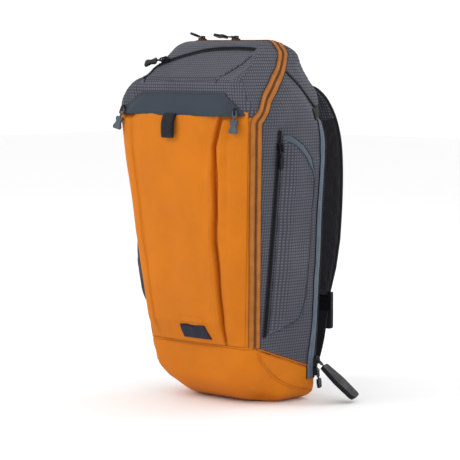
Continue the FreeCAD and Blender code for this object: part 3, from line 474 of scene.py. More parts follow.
def rear_top_shape(p, normal):
    x, y, z = p
    edge = smooth(14, 40, y) * smooth(0, 30, z - 440) * smooth(0, 30,
        y - rear_seam_y(z) if abs(x) > 80 else 30)
    out = (3.0 + 2.2 * ripple(p, 42, (0.8, 1, 1), 7.7)) * edge + 0.8 * ripple(p, 19, (1, 1, 1), 1.2) * edge
    return tuple(c * out for c in normal)


def back_shape(p, normal):
    x, y, z = p
    out = 1.2 * ripple(p, 60, (1, 0.2, 0.8), 3.3) * smooth(0, 30, z - 45) * smooth(120, 90, abs(x))
    return (0, min(out, 0.0), 0)


def calm(p, normal):
    out = 0.9 * ripple(p, 45, (1, 0.4, 0.8), 5.1)
    return tuple(c * out for c in normal)


VOXEL = 2.4
SHELLS = [
    ("base_boot_shell", ["base_boot"], boot_shape, "pack", "orange_coated", "orange"),
    ("side_shell_right", ["side_panel_right"], side_shape, "pack", "grey_ripstop", "ripstop"),
    ("side_shell_left", ["side_panel_left"], side_shape, "pack", "grey_ripstop", "ripstop"),
    ("rear_top_shell", ["sloping_top_rear"], rear_top_shape, "pack", "grey_ripstop", "ripstop"),
    ("back_shell", ["back_wall"], back_shape, "pack", "grey_ripstop", "ripstop"),
    ("front_inner_shell", ["clamshell_inner_face"], calm, "clamshell", "orange_coated", "orange"),
    ("hood_shell", ["hood"], hood_shape, "clamshell", "grey_ripstop", "ripstop"),
]
shell = {}
for name, nodes, shape, body, slot, material in SHELLS:
    shell[name] = finish_piece(shell_from(name, nodes, VOXEL, shape), body, M[material], nodes)


def tree_of(*objects):
    """A ray-cast tree over several objects' meshes."""
    verts, polygons = [], []
    for obj in objects:
        base = len(verts)
        verts += [v.co.copy() for v in obj.data.vertices]
        polygons += [tuple(base + i for i in f.vertices) for f in obj.data.polygons]
    return BVHTree.FromPolygons(verts, polygons)


def closed_form():
    """The whole bag as one closed surface, its seams filled, only used to lay things on."""
    copies = []
    for part in shell.values():
        copy = bpy.data.objects.new("form", part.data.copy())
        bpy.context.scene.collection.objects.link(copy)
        copies.append(copy)
    return modified(join("form", copies), ("REMESH", dict(mode="VOXEL", voxel_size=4.2 * MM,
                                                          use_smooth_shade=True)),
                    ("SMOOTH", dict(factor=0.5, iterations=5)),
                    ("DISPLACE", dict(strength=0.5 * MM, mid_level=0.0)))


form = closed_form()
FORM = tree_of(form)
SKIN = tree_of(form, *shell.values())
bpy.data.objects.remove(form)


def hit_skin(start, direction, tree=None):
    """First point of the skin along a ray, in millimetres, with its normal; None when it misses."""
    where, normal, _, _ = (tree or SKIN).ray_cast(Vector(start) * MM, Vector(direction).normalized())
    if where is None:
        return None
    if normal.dot(Vector(direction)) > 0:
        normal = -normal
    return where / MM, normal


# ---------------------------------------------------------------- lines and strips on the skin
def spaced(points, step):
    """A polyline resampled evenly, in millimetres."""
    points = [Vector(p) for p in points]
    out, left = [points[0]], step
    for a, b in zip(points, points[1:]):
        length = (b - a).length
        at = left
        while at <= length:
            out.append(a.lerp(b, at / length))
            at += step
        left = at - length
    if (out[-1] - points[-1]).length > step * 0.3:
        out.append(points[-1])
    return out


def rounded(points, rounds=2):
    """Corners cut smoothly, ends kept."""
    points = [Vector(p) for p in points]
    for _ in range(rounds):
        cut = [points[0]]
        for a, b in zip(points, points[1:]):
            cut += [a.lerp(b, 0.25), a.lerp(b, 0.75)]
        points = cut + [points[-1]]
    return points


def onto_skin(points, inwards, tree=None):
    """Drops a line onto the skin; inwards(p) gives the way in. Returns places and normals, both smoothed."""
    places, normals = [], []
    for p in points:
        way = Vector(inwards(p)).normalized()
        hit = hit_skin(p - way * 120, way, tree)
        if hit:
            places.append(hit[0])
            flat = hit[1] if tree else FORM.find_nearest(hit[0] * MM)[1]
            normals.append(flat if flat.dot(way) < 0 else -flat)
    for _ in range(2):
        places = [places[0]] + [(a + b * 2 + c) / 4 for a, b,
                                c in zip(places, places[1:], places[2:])] + [places[-1]]
    for _ in range(8):
        normals = [normals[0]] + [(a + b + c).normalized() for a, b,
                                  c in zip(normals, normals[1:], normals[2:])] + \
            [normals[-1]]
    return places, normals


def frames_along(places, normals):
    """Tangent, across and normal at each point."""
    out = []
    last = len(places) - 1
    for i, (p, n) in enumerate(zip(places, normals)):
        t = (places[min(i + 1, last)] - places[max(i - 1, 0)]).normalized()
        across = n.cross(t).normalized()
        out.append((p, t, across, t.cross(across)))
    return out


def ribbon(frames, section, tree=None):
    """Sweeps a closed section of (across, up) points along frames; with a tree, each row is laid
    on the skin."""
    verts, faces = [], []
    count = len(section)
    for p, t, across, n in frames:
        for a, up in section:
            base = p + across * a
            if tree is not None:
                hit = hit_skin(base + n * 16, -n, tree)
                if hit and (hit[0] - base).length < 15:
                    base = hit[0]
            verts.append((base + n * up) * MM)
    for i in range(len(frames) - 1):
        for k in range(count):
            a, b = i * count + k, i * count + (k + 1) % count
            faces.append((a, b, b + count, a + count))
    faces.append(tuple(range(count))[::-1])
    faces.append(tuple(range((len(frames) - 1) * count, len(frames) * count)))
    return verts, faces


def flat_section(a0, a1, low, high, steps=4):
    """A band's section from across a0 to a1, with softened edges."""
    span = [a0 + (a1 - a0) * i / steps for i in range(steps + 1)]
    top = [(a, high if 0 < i < steps else high - 0.35 * (high - low)) for i, a in enumerate(span)]
    return top + [(a, low) for a in reversed(span)]


def round_section(radius, lift, sides=8, a=0.0):
    return [(a + radius * math.cos(2 * math.pi * k / sides),
             lift + radius * math.sin(2 * math.pi * k / sides))
            for k in range(sides)][::-1]


def stitches(frames, offset, lift=0.25, length=2.4, gap=1.6, thick=0.42, tree=None):
    """A row of separate thread stitches along a seam, offset across it."""
    verts, faces = [], []
    run, since = 0.0, 0.0
    previous = frames[0][0]
    for p, t, across, n in frames:
        since += (p - previous).length
        previous = p
        if since < length + gap:
            continue
        since = 0.0
        middle = p + across * offset
        if tree is not None:
            hit = hit_skin(middle + n * 12, -n, tree)
            if not hit:
                continue
            middle = hit[0]
        base = len(verts)
        for s, wide in ((-0.5, 0.45), (-0.2, 1.0), (0.2, 1.0), (0.5, 0.45)):
            rise = lift - (0.35 if abs(s) > 0.4 else 0.0)
            for a, up in ((-thick * wide, 0), (0, thick * wide), (thick * wide, 0), (0, -thick * wide)):
                verts.append((middle + t * (s * length) + across * a + n * (up + rise)) * MM)
        for row in range(3):
            for k in range(4):
                a, b = base + row * 4 + k, base + row * 4 + (k + 1) % 4
                faces.append((a, b, b + 4, a + 4))
        faces.append(tuple(base + k for k in (3, 2, 1, 0)))
        faces.append(tuple(base + 12 + k for k in range(4)))
    return verts, faces


def teeth(frames, lift, side, pitch=2.3, reach=2.5):
    """One half of the coil: a loop every pitch, leaning past the middle; side is +1 or -1 across."""
    verts, faces = [], []
    since = pitch * (0.5 if side > 0 else 0.0)
    previous = frames[0][0]
    for p, t, across, n in frames:
        since += (p - previous).length
        previous = p
        if since < pitch:
            continue
        since -= pitch
        base = len(verts)
        for s, up in ((-0.25, 0.3), (0.35, 1.15), (1.0, 0.25)):
            middle = p + across * (side * s * reach) + n * (lift + up)
            for a, b in ((-0.55, 0), (0, 0.5), (0.55, 0), (0, -0.5)):
                verts.append((middle + t * a + n * b) * MM)
        for row in range(2):
            for k in range(4):
                i, j = base + row * 4 + k, base + row * 4 + (k + 1) % 4
                faces.append((i, j, j + 4, i + 4))
        faces.append(tuple(base + k for k in (3, 2, 1, 0)))
        faces.append(tuple(base + 8 + k for k in range(4)))
    return verts, faces


def inwards(p):
    """The way into the bag from a point outside it: level below the shoulders, turning downwards
    over the top."""
    core = Vector((max(-55.0, min(55.0, p[0])), p[1], min(p[2], 495.0)))
    return core - Vector(p)


def side_line(points, side, step=2.0):
    """A line on one side of the bag, from (Y, Z) points, with its frames."""
    raw = spaced([(side * 165.0, y, z) for y, z in points], step)
    return frames_along(*onto_skin(raw, lambda p: (-side, 0, 0)))


def front_line(points, step=2.0, tree=None):
    """A line on the front, from (X, Z) points."""
    raw = spaced([(x, -170.0, z) for x, z in points], step)
    return frames_along(*onto_skin(raw, lambda p: (0, 1, 0), tree))


def main_zip_frames(step):
    half = [(160.0, zip_y(z), z) for z in range(92, 495, 4)]
    for k in range(1, 19):
        angle = math.radians(k * 5.0)
        z_near = 495 + 62 * math.sin(angle)
        half.append((55 + 110 * math.cos(angle), zip_y(z_near), 495 + 110 * math.sin(angle)))
    raw = half + [(x, 17.5, 605.0) for x in range(50, 0, -5)]
    raw += [(-x, y, z) for x, y, z in reversed(raw)]
    return frames_along(*onto_skin(spaced(rounded(raw, 1), step), inwards))


def zipper(name, frames, lift, parts, coil_body, edge="piping", tree=SKIN):
    """A zipper on the skin. parts gives (suffix, across from, across to, body, slot, material,
    replaced nodes)."""
    for suffix, a0, a1, body, slot, material, replaced in parts:
        section = flat_section(a0, a1, lift, lift + 1.2)
        piece = merged(f"{name}_tape_{suffix}", [ribbon(frames, section, tree)])
        finish_piece(piece, body, M[material], replaced)
        if edge:
            outer = a0 if abs(a0) > abs(a1) else a1
            rim = merged(f"{name}_{edge}_{suffix}", [ribbon(frames, round_section(0.6, lift + 0.7, 8,
                outer), tree)])
            finish_piece(rim, body, M["zip_welt" if suffix == "front" else "piping"])
        side = 1 if a0 + a1 > 0 else -1
        if abs(a0 + a1) > 1:
            row = merged(f"{name}_stitches_{suffix}", [stitches(frames, (a0 + a1) / 2 + side * 2.2,
                lift + 1.3, tree=tree)])
            finish_piece(row, body, M["orange_thread" if material == "tape" else "thread"])
    for side, body in coil_body:
        coil = merged(f"{name}_coil_{'a' if side > 0 else 'b'}", [teeth(frames, lift + 1.0, side)])
        finish_piece(coil, body, M["coil" if "main" in name else "plastic"])


MAIN = main_zip_frames(1.15)
zipper("main_zip", MAIN, 0.2, [
    ("front", 0.25, 9.6, "clamshell", "orange_tape", "tape", ["main_zip_tape_front"]),
    ("body", -9.6, -0.25, "pack", "orange_tape", "tape", ["main_zip_tape_body"]),
], [(1, "clamshell"), (-1, "pack")])

for side, suffix, low, replaced in ((1, "right", 108, ["side_zip_tape_right"]),
                                    (-1, "left", 316, ["side_zip_tape_left"])):
    line = side_line([(-32, low), (-32, 424)], side, 1.15)
    zipper(f"side_zip_{suffix}", line, 0.2, [
        ("a", -3.4, -0.2, "pack", "black_tape", "black_tape", replaced),
        ("b", 0.2, 3.4, "pack", "black_tape", "black_tape", []),
    ], [(1, "pack"), (-1, "pack")], "")

REAR = side_line([(75, 34), (75, 436)], 1, 1.15)
zipper("rear_zip", REAR, 0.2, [
    ("a", 0.3, 16.0, "pack", "slate_tape", "rear_tape", ["rear_zip_tape_right"]),
    ("b", -10.0, -0.3, "pack", "slate_tape", "rear_tape", []),
], [(1, "pack"), (-1, "pack")])


# The top pocket's zipper: an arc in the plane of the hood's slope.
SLOPE_FOOT, SLOPE_UP = Vector((0, front_face(499.0), 499.0)), Vector((0, 0.7986, 0.6019))
ARC_CENTRE, ARC_RADIUS = (59.0, -134.0), 214.0
arc = []
for k in range(60):
    angle = math.radians(136.0 - 57.0 * k / 59)
    arc.append(SLOPE_FOOT + Vector((ARC_CENTRE[0] + ARC_RADIUS * math.cos(angle), 0, 0)) +
               SLOPE_UP * (ARC_CENTRE[1] + ARC_RADIUS * math.sin(angle)) + Vector((0, -0.6019,
                   0.7986)) * 30)
TOP_ZIP = frames_along(*onto_skin(spaced(arc, 1.15), lambda p: (0, 0.6019, -0.7986)))
zipper("top_zip", TOP_ZIP, 0.2, [
    ("a", -3.6, -0.2, "clamshell", "black_tape", "black_tape", ["top_zip_tape"]),
    ("b", 0.2, 3.6, "clamshell", "black_tape", "black_tape", []),
], [(1, "clamshell"), (-1, "clamshell")], "")


def seam(name, frames, body, slot, welt="piping", radius=0.9, rows=(3.4,), thread="thread"):
    """A sewn seam: a thin welt in the joint and rows of stitches beside it."""
    finish_piece(merged(name, [ribbon(frames, round_section(radius, 0.35), SKIN)]), body, M[welt])
    if rows:
        sewn = merged(f"{name}_stitches", [stitches(frames, row, 0.3, tree=SKIN) for row in rows])
        finish_piece(sewn, body, M[thread])


for side, suffix in ((1, "right"), (-1, "left")):
    seam(f"top_seam_{suffix}", side_line(rounded([(4, 512), (40, 479), (86, 437)]), side), "pack",
         "grey_ripstop",
         radius=1.3, rows=(4.0,))
    seam(f"boot_seam_{suffix}", side_line([(-44, 91), (84, 47)], side), "pack", "orange_coated", "orange",
         0.8, (-3.2, 3.2),
         "orange_thread")
    seam(f"base_seam_{suffix}", side_line(rounded([(-42, 84), (-28, 62), (17, 26), (78, 12)]), side),
         "pack", "orange_coated",
         "orange", 1.0, (2.6,), "orange_thread")


# ---------------------------------------------------------------- panels laid on the skin
def outline_grid(outline, rows, columns):
    """Evenly spaced rows of (u, v, share across, share up) inside an outline that any level line
    crosses once."""
    low, high = min(v for _, v in outline), max(v for _, v in outline)
    closed = outline + [outline[0]]
    grid = []
    for r in range(rows):
        v = low + (high - low) * clamp(r / (rows - 1), 0.002, 0.998)
        crossings = [u0 + (u1 - u0) * (v - v0) / (v1 - v0) for (u0, v0), (u1, v1) in zip(closed, closed[1:])
                     if (v0 - v) * (v1 - v) <= 0 and v0 != v1]
        a, b = min(crossings), max(crossings)
        grid.append([(a + (b - a) * c / (columns - 1), v, c / (columns - 1),
                      r / (rows - 1)) for c in range(columns)])
    return grid


def laid_panel(grid, start, way, lift, under=-0.8, tree=None):
    """A closed piece lying on the skin: start(u, v) is a point outside, lift(u, v, s, t) its
    height in millimetres."""
    way = Vector(way).normalized()
    top, bottom = [], []
    depth, normal = 30.0, -way
    for row in grid:
        for u, v, s, t in row:
            place = Vector(start(u, v))
            hit = hit_skin(place, way, tree)
            if hit:
                depth, normal = (hit[0] - place).dot(way), hit[1]
            out = (normal - way * 1.5).normalized()
            top.append((place + way * depth + out * lift(u, v, s, t)) * MM)
            below = under(u, v, s, t) if callable(under) else under
            bottom.append((place + way * depth + out * below) * MM)
    return slab(top, bottom, len(grid), len(grid[0]))


def slab(top, bottom, rows, columns):
    """A closed piece between two grids of the same size; the top grid's rows run across, seen from
    outside."""
    verts = top + bottom
    n = rows * columns
    faces = []
    for r in range(rows - 1):
        for c in range(columns - 1):
            i = r * columns + c
            faces.append((i, i + 1, i + columns + 1, i + columns))
            faces.append((n + i, n + i + columns, n + i + columns + 1, n + i + 1))
    rim = [c for c in range(columns)] + [r * columns + columns - 1 for r in range(1, rows)]
    rim += [(rows - 1) * columns + c for c in range(columns - 2, -1,
                                                    -1)] + [r * columns for r in range(rows - 2, 0, -1)]
    for a, b in zip(rim, rim[1:] + rim[:1]):
        faces.append((b, a, n + a, n + b))
    return verts, faces


def facing_out(obj):
    """Normals made consistent and pointing out."""
    work = bmesh.new()
    work.from_mesh(obj.data)
    bmesh.ops.recalc_face_normals(work, faces=work.faces)
    work.to_mesh(obj.data)
    work.free()
    obj.data.update()
    return obj


# ---------------------------------------------------------------- the pleated front pocket
POCKET_LEVELS = [(94, 0.10, -74, 64), (128, 0.9, -77, 63), (250, 1.0, -86, 61), (400, 0.9, -97, 71),
                 (440, 0.62, -100, 84),
                 (453, 0.5, -101, 88)]


def pocket_row(z):
    """Across the pocket at a height: (X, height off the front face) from its left sewn edge to its
    right one."""
    share = along([(a, b) for a, b, _, _ in POCKET_LEVELS], z)
    left = along([(a, c) for a, _, c, _ in POCKET_LEVELS], z)
    right = along([(a, d) for a, _, _, d in POCKET_LEVELS], z)
    edge, full = front_half(z) - 9.0, 2.5 + 15.0 * share
    wander = 2.0 * ripple((0, 0, z), 60, seed=4.0)
    left, right = left + wander, right + 1.6 * wander
    row = [(-edge - 2, -1.5), (-edge, 0.8)]
    row += [(-edge + (left + edge) * k / 6,
             full * (0.94 * math.sin(k / 6 * math.pi / 2) ** 0.45)) for k in range(1, 6)]
    row += [(left - 1.4, full * 0.90), (left - 0.2, full * 0.78), (left + 0.8, full * 0.96),
            (left + 2.6, full + 0.9)]
    span = right - left
    row += [(left + 5 + (span - 10) * k / 26,
             full + 0.6 + 3.0 * math.sin(math.pi * k / 26)) for k in range(27)]
    row += [(right - 2.4, full + 1.4), (right - 0.4, full + 0.6), (right + 0.6, full * 0.82),
            (right - 0.2, full * 0.5),
            (right - 1.6, full * 0.22), (right + 1.4, full * 0.10), (right + 4.0, full * 0.40)]
    rest = edge - right - 6
    row += [(right + 6 + rest * k / 8,
             full * (0.55 + 0.25 * math.sin(math.pi * k / 8)) * (1 - (k / 8) ** 3) + 0.8)
            for k in range(9)]
    return row + [(edge + 2, -1.5)]


def pocket_folds(x, z):
    """Loose folds of the pocket's cloth: long upright ones, drag lines from the top corners,
    gathers at the hem."""
    long = 1.9 * ripple((x, 0, z * 0.16), 30, seed=2.2) + 0.9 * ripple((x, 0, z * 0.45), 17, seed=7.0)
    right_drag = 4.0 * ripple((x - 0.30 * (440 - z), 0, z * 0.10), 15, seed=3.3) * smooth(250, 430,
        z) * smooth(10, 60, x)
    left_drag = 1.6 * ripple((x + 0.25 * (440 - z), 0, z * 0.10), 16, seed=5.1) * smooth(300, 430,
        z) * smooth(-40, -80, x)
    hem = 1.7 * ripple((x, 0, z * 0.2), 12, seed=1.2) * smooth(150, 104, z)
    from_pleat = x - along([(row[0], row[3]) for row in POCKET_LEVELS], z)
    tuck = (6.5 * bump(from_pleat, 15, 5) - 4.5 * bump(from_pleat, 7, 3.5) - 4.5 * bump(from_pleat, 25,
        5)) * smooth(150, 380, z)
    lean = -2.6 * bump(from_pleat, -11 - 0.05 * (440 - z), 5) * smooth(200, 420, z)
    return (long + right_drag + left_drag + hem + tuck + lean) * smooth(92, 116, z)


def pocket_mesh():
    top, bottom = [], []
    heights = [94 + 359 * k / 130 for k in range(131)]
    for z in heights:
        row = pocket_row(z)
        for k, (x, d) in enumerate(row):
            inner = 0 < k < len(row) - 1
            height = d + (pocket_folds(x, z) * clamp((d + 1) / 10) if inner else 0)
            height *= 1 - smooth(437, 446, z) * smooth(86, 108, abs(x))
            height = max(height, 0.5) if inner else d
            top.append(Vector((x, front_face(z) - height, z)) * MM)
            bottom.append(Vector((x, front_face(z) - (max(height - 1.6, -1.0) if inner else d - 0.4),
                                  z)) * MM)
    return slab(top, bottom, len(heights), len(pocket_row(100)))


pocket = facing_out(merged("front_pocket_cloth", [pocket_mesh()]))
modified(pocket, ("SMOOTH", dict(factor=0.4, iterations=1)))
finish_piece(pocket, "clamshell", M["orange"], ["front_pocket"])
FRONT = tree_of(pocket, *shell.values())


def pleat_line(column, shift, low=100, high=444):
    points = [(along([(row[0], row[column]) for row in POCKET_LEVELS], z) + shift, z) for z in range(low,
        high, 6)]
    return front_line(points, 1.0, FRONT)


finish_piece(merged("pleat_stitches", [stitches(pleat_line(2, 4.2), 0, 0.15, tree=FRONT),
                                       stitches(pleat_line(3, -4.0), 0, 0.15, tree=FRONT)]),
             "clamshell", M["orange_thread"])


# The yoke: a slate patch over the pocket's top edge, its upper corners cut off.
def yoke_lift(x, z, s, t):
    proud = 9.0 * smooth(486, 450, z) * smooth(133, 96, abs(x)) + 1.6
    edge = min(s, 1 - s, 1 - t) < 0.001
    return (1.2 if edge else 2.1) + proud * smooth(0, 0.12, min(s, 1 - s)) * smooth(1.0, 0.75, t)


YOKE_OUTLINE = [(-132, 445.5), (132, 446.5), (133, 449), (95, 481), (-80, 481), (-133, 449)]
yoke_grid = outline_grid(YOKE_OUTLINE, 26, 70)
yoke = facing_out(merged("yoke_cloth", [laid_panel(yoke_grid, lambda x, z: (x, -170, z), (0, 1, 0),
                                                   yoke_lift, 0.2)]))
finish_piece(yoke, "clamshell", M["slate"], ["yoke_patch"])
FRONT = tree_of(pocket, yoke, *shell.values())
yoke_rows = [front_line(points, 1.0, FRONT) for points in
             ([(-128, 449), (128, 449.6)], [(-126, 451.5), (-79, 478.5), (93, 478.5), (128, 449.8)])]
finish_piece(merged("yoke_stitches", [stitches(line, 0, 0.15, tree=FRONT) for line in yoke_rows]),
             "clamshell",
             M["thread"])


# Tabs: a folded loop of webbing under the yoke, and a dark tab with a wavy edge at the hem.
def webbing_loop(path, half, thick, axis=(1, 0, 0)):
    """A strip of webbing along a path of points in millimetres, its width along the axis."""
    places = spaced(rounded(path, 2), 1.2)
    axis = Vector(axis)
    frames = []
    for i, p in enumerate(places):
        t = (places[min(i + 1, len(places) - 1)] - places[max(i - 1, 0)]).normalized()
        frames.append((p, t, axis, t.cross(axis).normalized()))
    return ribbon(frames, flat_section(-half, half, -thick / 2, thick / 2, 6))


finish_piece(merged("top_tab_webbing", [
    webbing_loop([(-9.5, -106, 450), (-9.5, -114, 448), (-9.5, -119.5, 436), (-9.5, -119.6, 417),
                  (-9.5, -117.8, 410.5),
                  (-9.5, -116.4, 417), (-9.5, -116.4, 436), (-9.5, -112, 446), (-9.5, -105, 448)], 12.2,
                  1.4)]),
    "clamshell", M["webbing"], ["top_tab"])

BOTTOM_TAB = [(-16, 102), (41, 102), (35, 118), (34, 122), (-18, 123.5), (-18, 116)]


def tab_lift(x, z, s, t):
    wave = 1.6 * math.sin(x * 0.17) * smooth(0.6, 1.0, t)
    return 2.2 + 0.5 * ripple((x, 0, z), 9) + 0.4 * wave


tab = facing_out(merged("bottom_tab_cloth", [
    laid_panel([[(u, v + 2.2 * math.sin(u * 0.16 + 2.2) * smooth(0.5, 1.0, t), s, t) for u, v, s, t in row]
                for row in outline_grid(BOTTOM_TAB, 12, 30)],
               lambda x, z: (x, -170, z), (0, 1, 0), tab_lift, 0.2, tree_of(pocket))]))
finish_piece(tab, "clamshell", M["tab"], ["bottom_tab"])
square = [front_line(points, 1.0, tree_of(pocket)) for points in
          ([(-17, 125), (-17, 136), (33, 136), (33, 125)], [(-14, 127), (30, 127)])]
finish_piece(merged("tab_stitches", [stitches(line, 0, 0.15, tree=tree_of(pocket)) for line in square]),
             "clamshell",
             M["orange_thread"])
BASE_SEAM_Z, BASE_SEAM_REACH = 92.5, 106
base_seam = front_line([(-BASE_SEAM_REACH, BASE_SEAM_Z), (BASE_SEAM_REACH, BASE_SEAM_Z)], 1.5, SKIN)
finish_piece(merged("front_base_seam", [ribbon(base_seam, round_section(1.5, 0.2))]), "clamshell",
             M["orange"])


# ---------------------------------------------------------------- side pockets
def paint(obj, materials, rule):
    """Several materials on one object; rule(centre in millimetres, normal) gives the slot number
    of a face."""
    obj.data.materials.clear()
    for material in materials:
        obj.data.materials.append(material)
    obj.data.polygons.foreach_set("material_index", [rule(f.center / MM,
                                                          f.normal) for f in obj.data.polygons])
    obj.data.update()


SIDE_POCKET = [(-25, 112), (5, 121), (36, 133), (39, 160), (40, 240), (42, 320), (45, 360), (36, 383),
               (18, 401), (-5, 413),
               (-25, 418)]


def pocket_rear(z):
    return along([(112, -25), (121, 5), (133, 36), (160, 39), (240, 40), (320, 42), (360, 45), (383, 36),
                  (401, 18),
                  (413, -5), (418, -25)], z)


def gusset_width(z):
    return 4.5 + 19.0 * smooth(335, 402, z) + 9.0 * smooth(170, 122, z)


def side_pocket_lift(y, z, s, t):
    inside = min(pocket_rear(z) - y, (z - 111) * 0.9, (419 - z) * 0.9)
    fall = smooth(0, gusset_width(z) * 0.8, inside) * smooth(-26, -2, y)
    sag = 1.4 * ripple((0, y, z * 0.4), 26, seed=3.0) + 0.7 * ripple((0, y, z), 11, seed=8.0)
    return 1.3 + 8.2 * fall * (0.8 + 0.2 * bump(z, 230, 90)) + sag * fall


side_pocket = facing_out(merged("side_pocket_cloth", [
    laid_panel(outline_grid(SIDE_POCKET, 110, 34), lambda y, z: (230, y, z), (-1, 0, 0), side_pocket_lift,
               -0.4)]))
finish_piece(side_pocket, "pack", M["ripstop"], ["side_pocket"])
paint(side_pocket, [M["ripstop"], M["slate_lining"]],
      lambda p, n: 1 if pocket_rear(p.z) - p.y < gusset_width(p.z) and p.z > 112 else 0)
SIDE = tree_of(side_pocket, *shell.values())


def pocket_side_line(points, side, step, tree):
    raw = spaced([(side * 200.0, y, z) for y, z in points], step)
    return frames_along(*onto_skin(raw, lambda p: (-side, 0, 0), tree))


inner_edge = [(pocket_rear(z) - gusset_width(z), z) for z in range(122, 410, 5)
              if pocket_rear(z) - gusset_width(z) > -22]
outer_edge = [(pocket_rear(z) - 0.5, z) for z in range(114, 417, 4)]
for name, points in (("inner", inner_edge), ("outer", outer_edge)):
    line = pocket_side_line(rounded(points, 1), 1, 1.2, SIDE)
    finish_piece(merged(f"side_pocket_welt_{name}", [ribbon(line, round_section(0.8, 0.3))]), "pack",
                 M["slate"])

BOTTLE_LOW = [(-38, 93), (-4, 70), (28, 50), (46, 56), (61, 66)]
BOTTLE_TOP = [(-57, 308), (64, 246)]


def on_path(points, share):
    """The point a share of the way along a 2-D path."""
    lengths = [math.dist(a, b) for a, b in zip(points, points[1:])]
    left = clamp(share) * sum(lengths)
    for (a, b), length in zip(zip(points, points[1:]), lengths):
        if left <= length:
            return a[0] + (b[0] - a[0]) * left / length, a[1] + (b[1] - a[1]) * left / length
        left -= length
    return points[-1]


def bottle_grid(rows, columns):
    grid = []
    for r in range(rows):
        t = r / (rows - 1)
        row = []
        for c in range(columns):
            s = c / (columns - 1)
            (y0, z0), (y1, z1) = on_path(BOTTLE_LOW, s), on_path(BOTTLE_TOP, s)
            row.append((y0 + (y1 - y0) * t, z0 + (z1 - z0) * t, s, t))
        grid.append(row)
    return grid


def bottle_lift(y, z, s, t):
    across = math.sin(math.pi * clamp(s)) ** 0.45
    soft = 0.9 * ripple((0, y, z * 0.6), 22, seed=6.0)
    forward = 20.0 * bump(s, 0.14, 0.22) * smooth(0.02, 0.4, t) * smooth(1.1, 0.55, t)
    return 1.2 + (18.0 * smooth(0, 0.4, t) * (0.62 + 0.38 * t) + forward + soft * smooth(0, 0.1,
        t)) * across


def bottle_under(y, z, s, t):
    return max(bottle_lift(y, z, s, t) - 1.7, -0.5)


bottle = facing_out(merged("bottle_pocket_knit", [
    laid_panel(bottle_grid(64, 44), lambda y, z: (-230, y, z), (1, 0, 0), bottle_lift, bottle_under)]))
for v in bottle.data.vertices:
    proud = clamp((-v.co.x / MM - 121 - 0.05 * v.co.z / MM) / 30)
    v.co.y -= 22 * MM * proud * smooth(0.020, -0.050, v.co.y) * smooth(0.306, 0.240, v.co.z)
finish_piece(bottle, "pack", M["stretch"], ["bottle_pocket"])


def grid_line(obj, columns, row, inset=0):
    """One row of a laid panel's upper surface, in millimetres."""
    return [obj.data.vertices[row * columns + c].co / MM for c in range(inset, columns - inset)]


def rim_frames(points, out):
    normals = [Vector(out)] * len(points)
    return frames_along([Vector(p) for p in points], normals)


finish_piece(merged("bottle_pocket_hem", [
    ribbon(rim_frames(spaced(grid_line(bottle, 44, 63), 1.5), (-1, 0, 0)),
           [(a, up - 0.7) for a, up in flat_section(-2.0, 9.0, -0.9, 1.3, 5)])]), "pack",
           M["webbing"])

for side, suffix in ((1, "right"), (-1, "left")):
    outline = [(52, 438), (76, 444), (73, 460), (49, 454)]
    grid = []
    for r in range(8):
        t = r / 7
        left, right = on_path([outline[0], outline[3]], t), on_path([outline[1], outline[2]], t)
        grid.append([(left[0] + (right[0] - left[0]) * c / 9, left[1] + (right[1] - left[1]) * c / 9, c / 9,
                      t)
                     for c in range(10)])
    tab_piece = merged(f"side_tab_{suffix}_webbing", [
        laid_panel(grid, lambda y, z, k=side: (k * 230, y, z), (-side, 0, 0),
                   lambda y, z, s,
                   t: 1.4 + 2.2 * math.sin(math.pi * clamp(s)) * math.sin(math.pi * clamp(t)) ** 0.5,
                   -0.3)])
    finish_piece(facing_out(tab_piece), "pack", M["webbing"], [f"side_tab_{suffix}"])

# Seams of the hood.
HOOD_FACING = (0, 0.6019, -0.7986)


def slope_line(points, step=1.5):
    """A line on the hood's front slope, from (X, distance up the slope) points."""
    raw = [SLOPE_FOOT + Vector((x, 0, 0)) + SLOPE_UP * up + Vector((0, -0.6019, 0.7986)) * 30 for x,
           up in points]
    return frames_along(*onto_skin(spaced(raw, step), lambda p: HOOD_FACING))


seam("hood_seam_left", slope_line([(-75, -3), (-72, 16), (-78, 30)]), "clamshell", "grey_ripstop", "piping",
     0.9, (3.2,))
seam("hood_seam_right", slope_line([(75, -3), (88, 16), (100, 44), (104, 62)]), "clamshell", "grey_ripstop",
     "ripstop", 1.2,
     (3.2,))
finish_piece(merged("hood_hem_stitches", [stitches(slope_line([(-72, 3.0), (74, 3.0)]), 0, 0.3, tree=SKIN),
                                          stitches(slope_line([(-72, 6.4), (76, 6.4)]), 0, 0.3,
                                                   tree=SKIN)]),
             "clamshell", M["thread"])


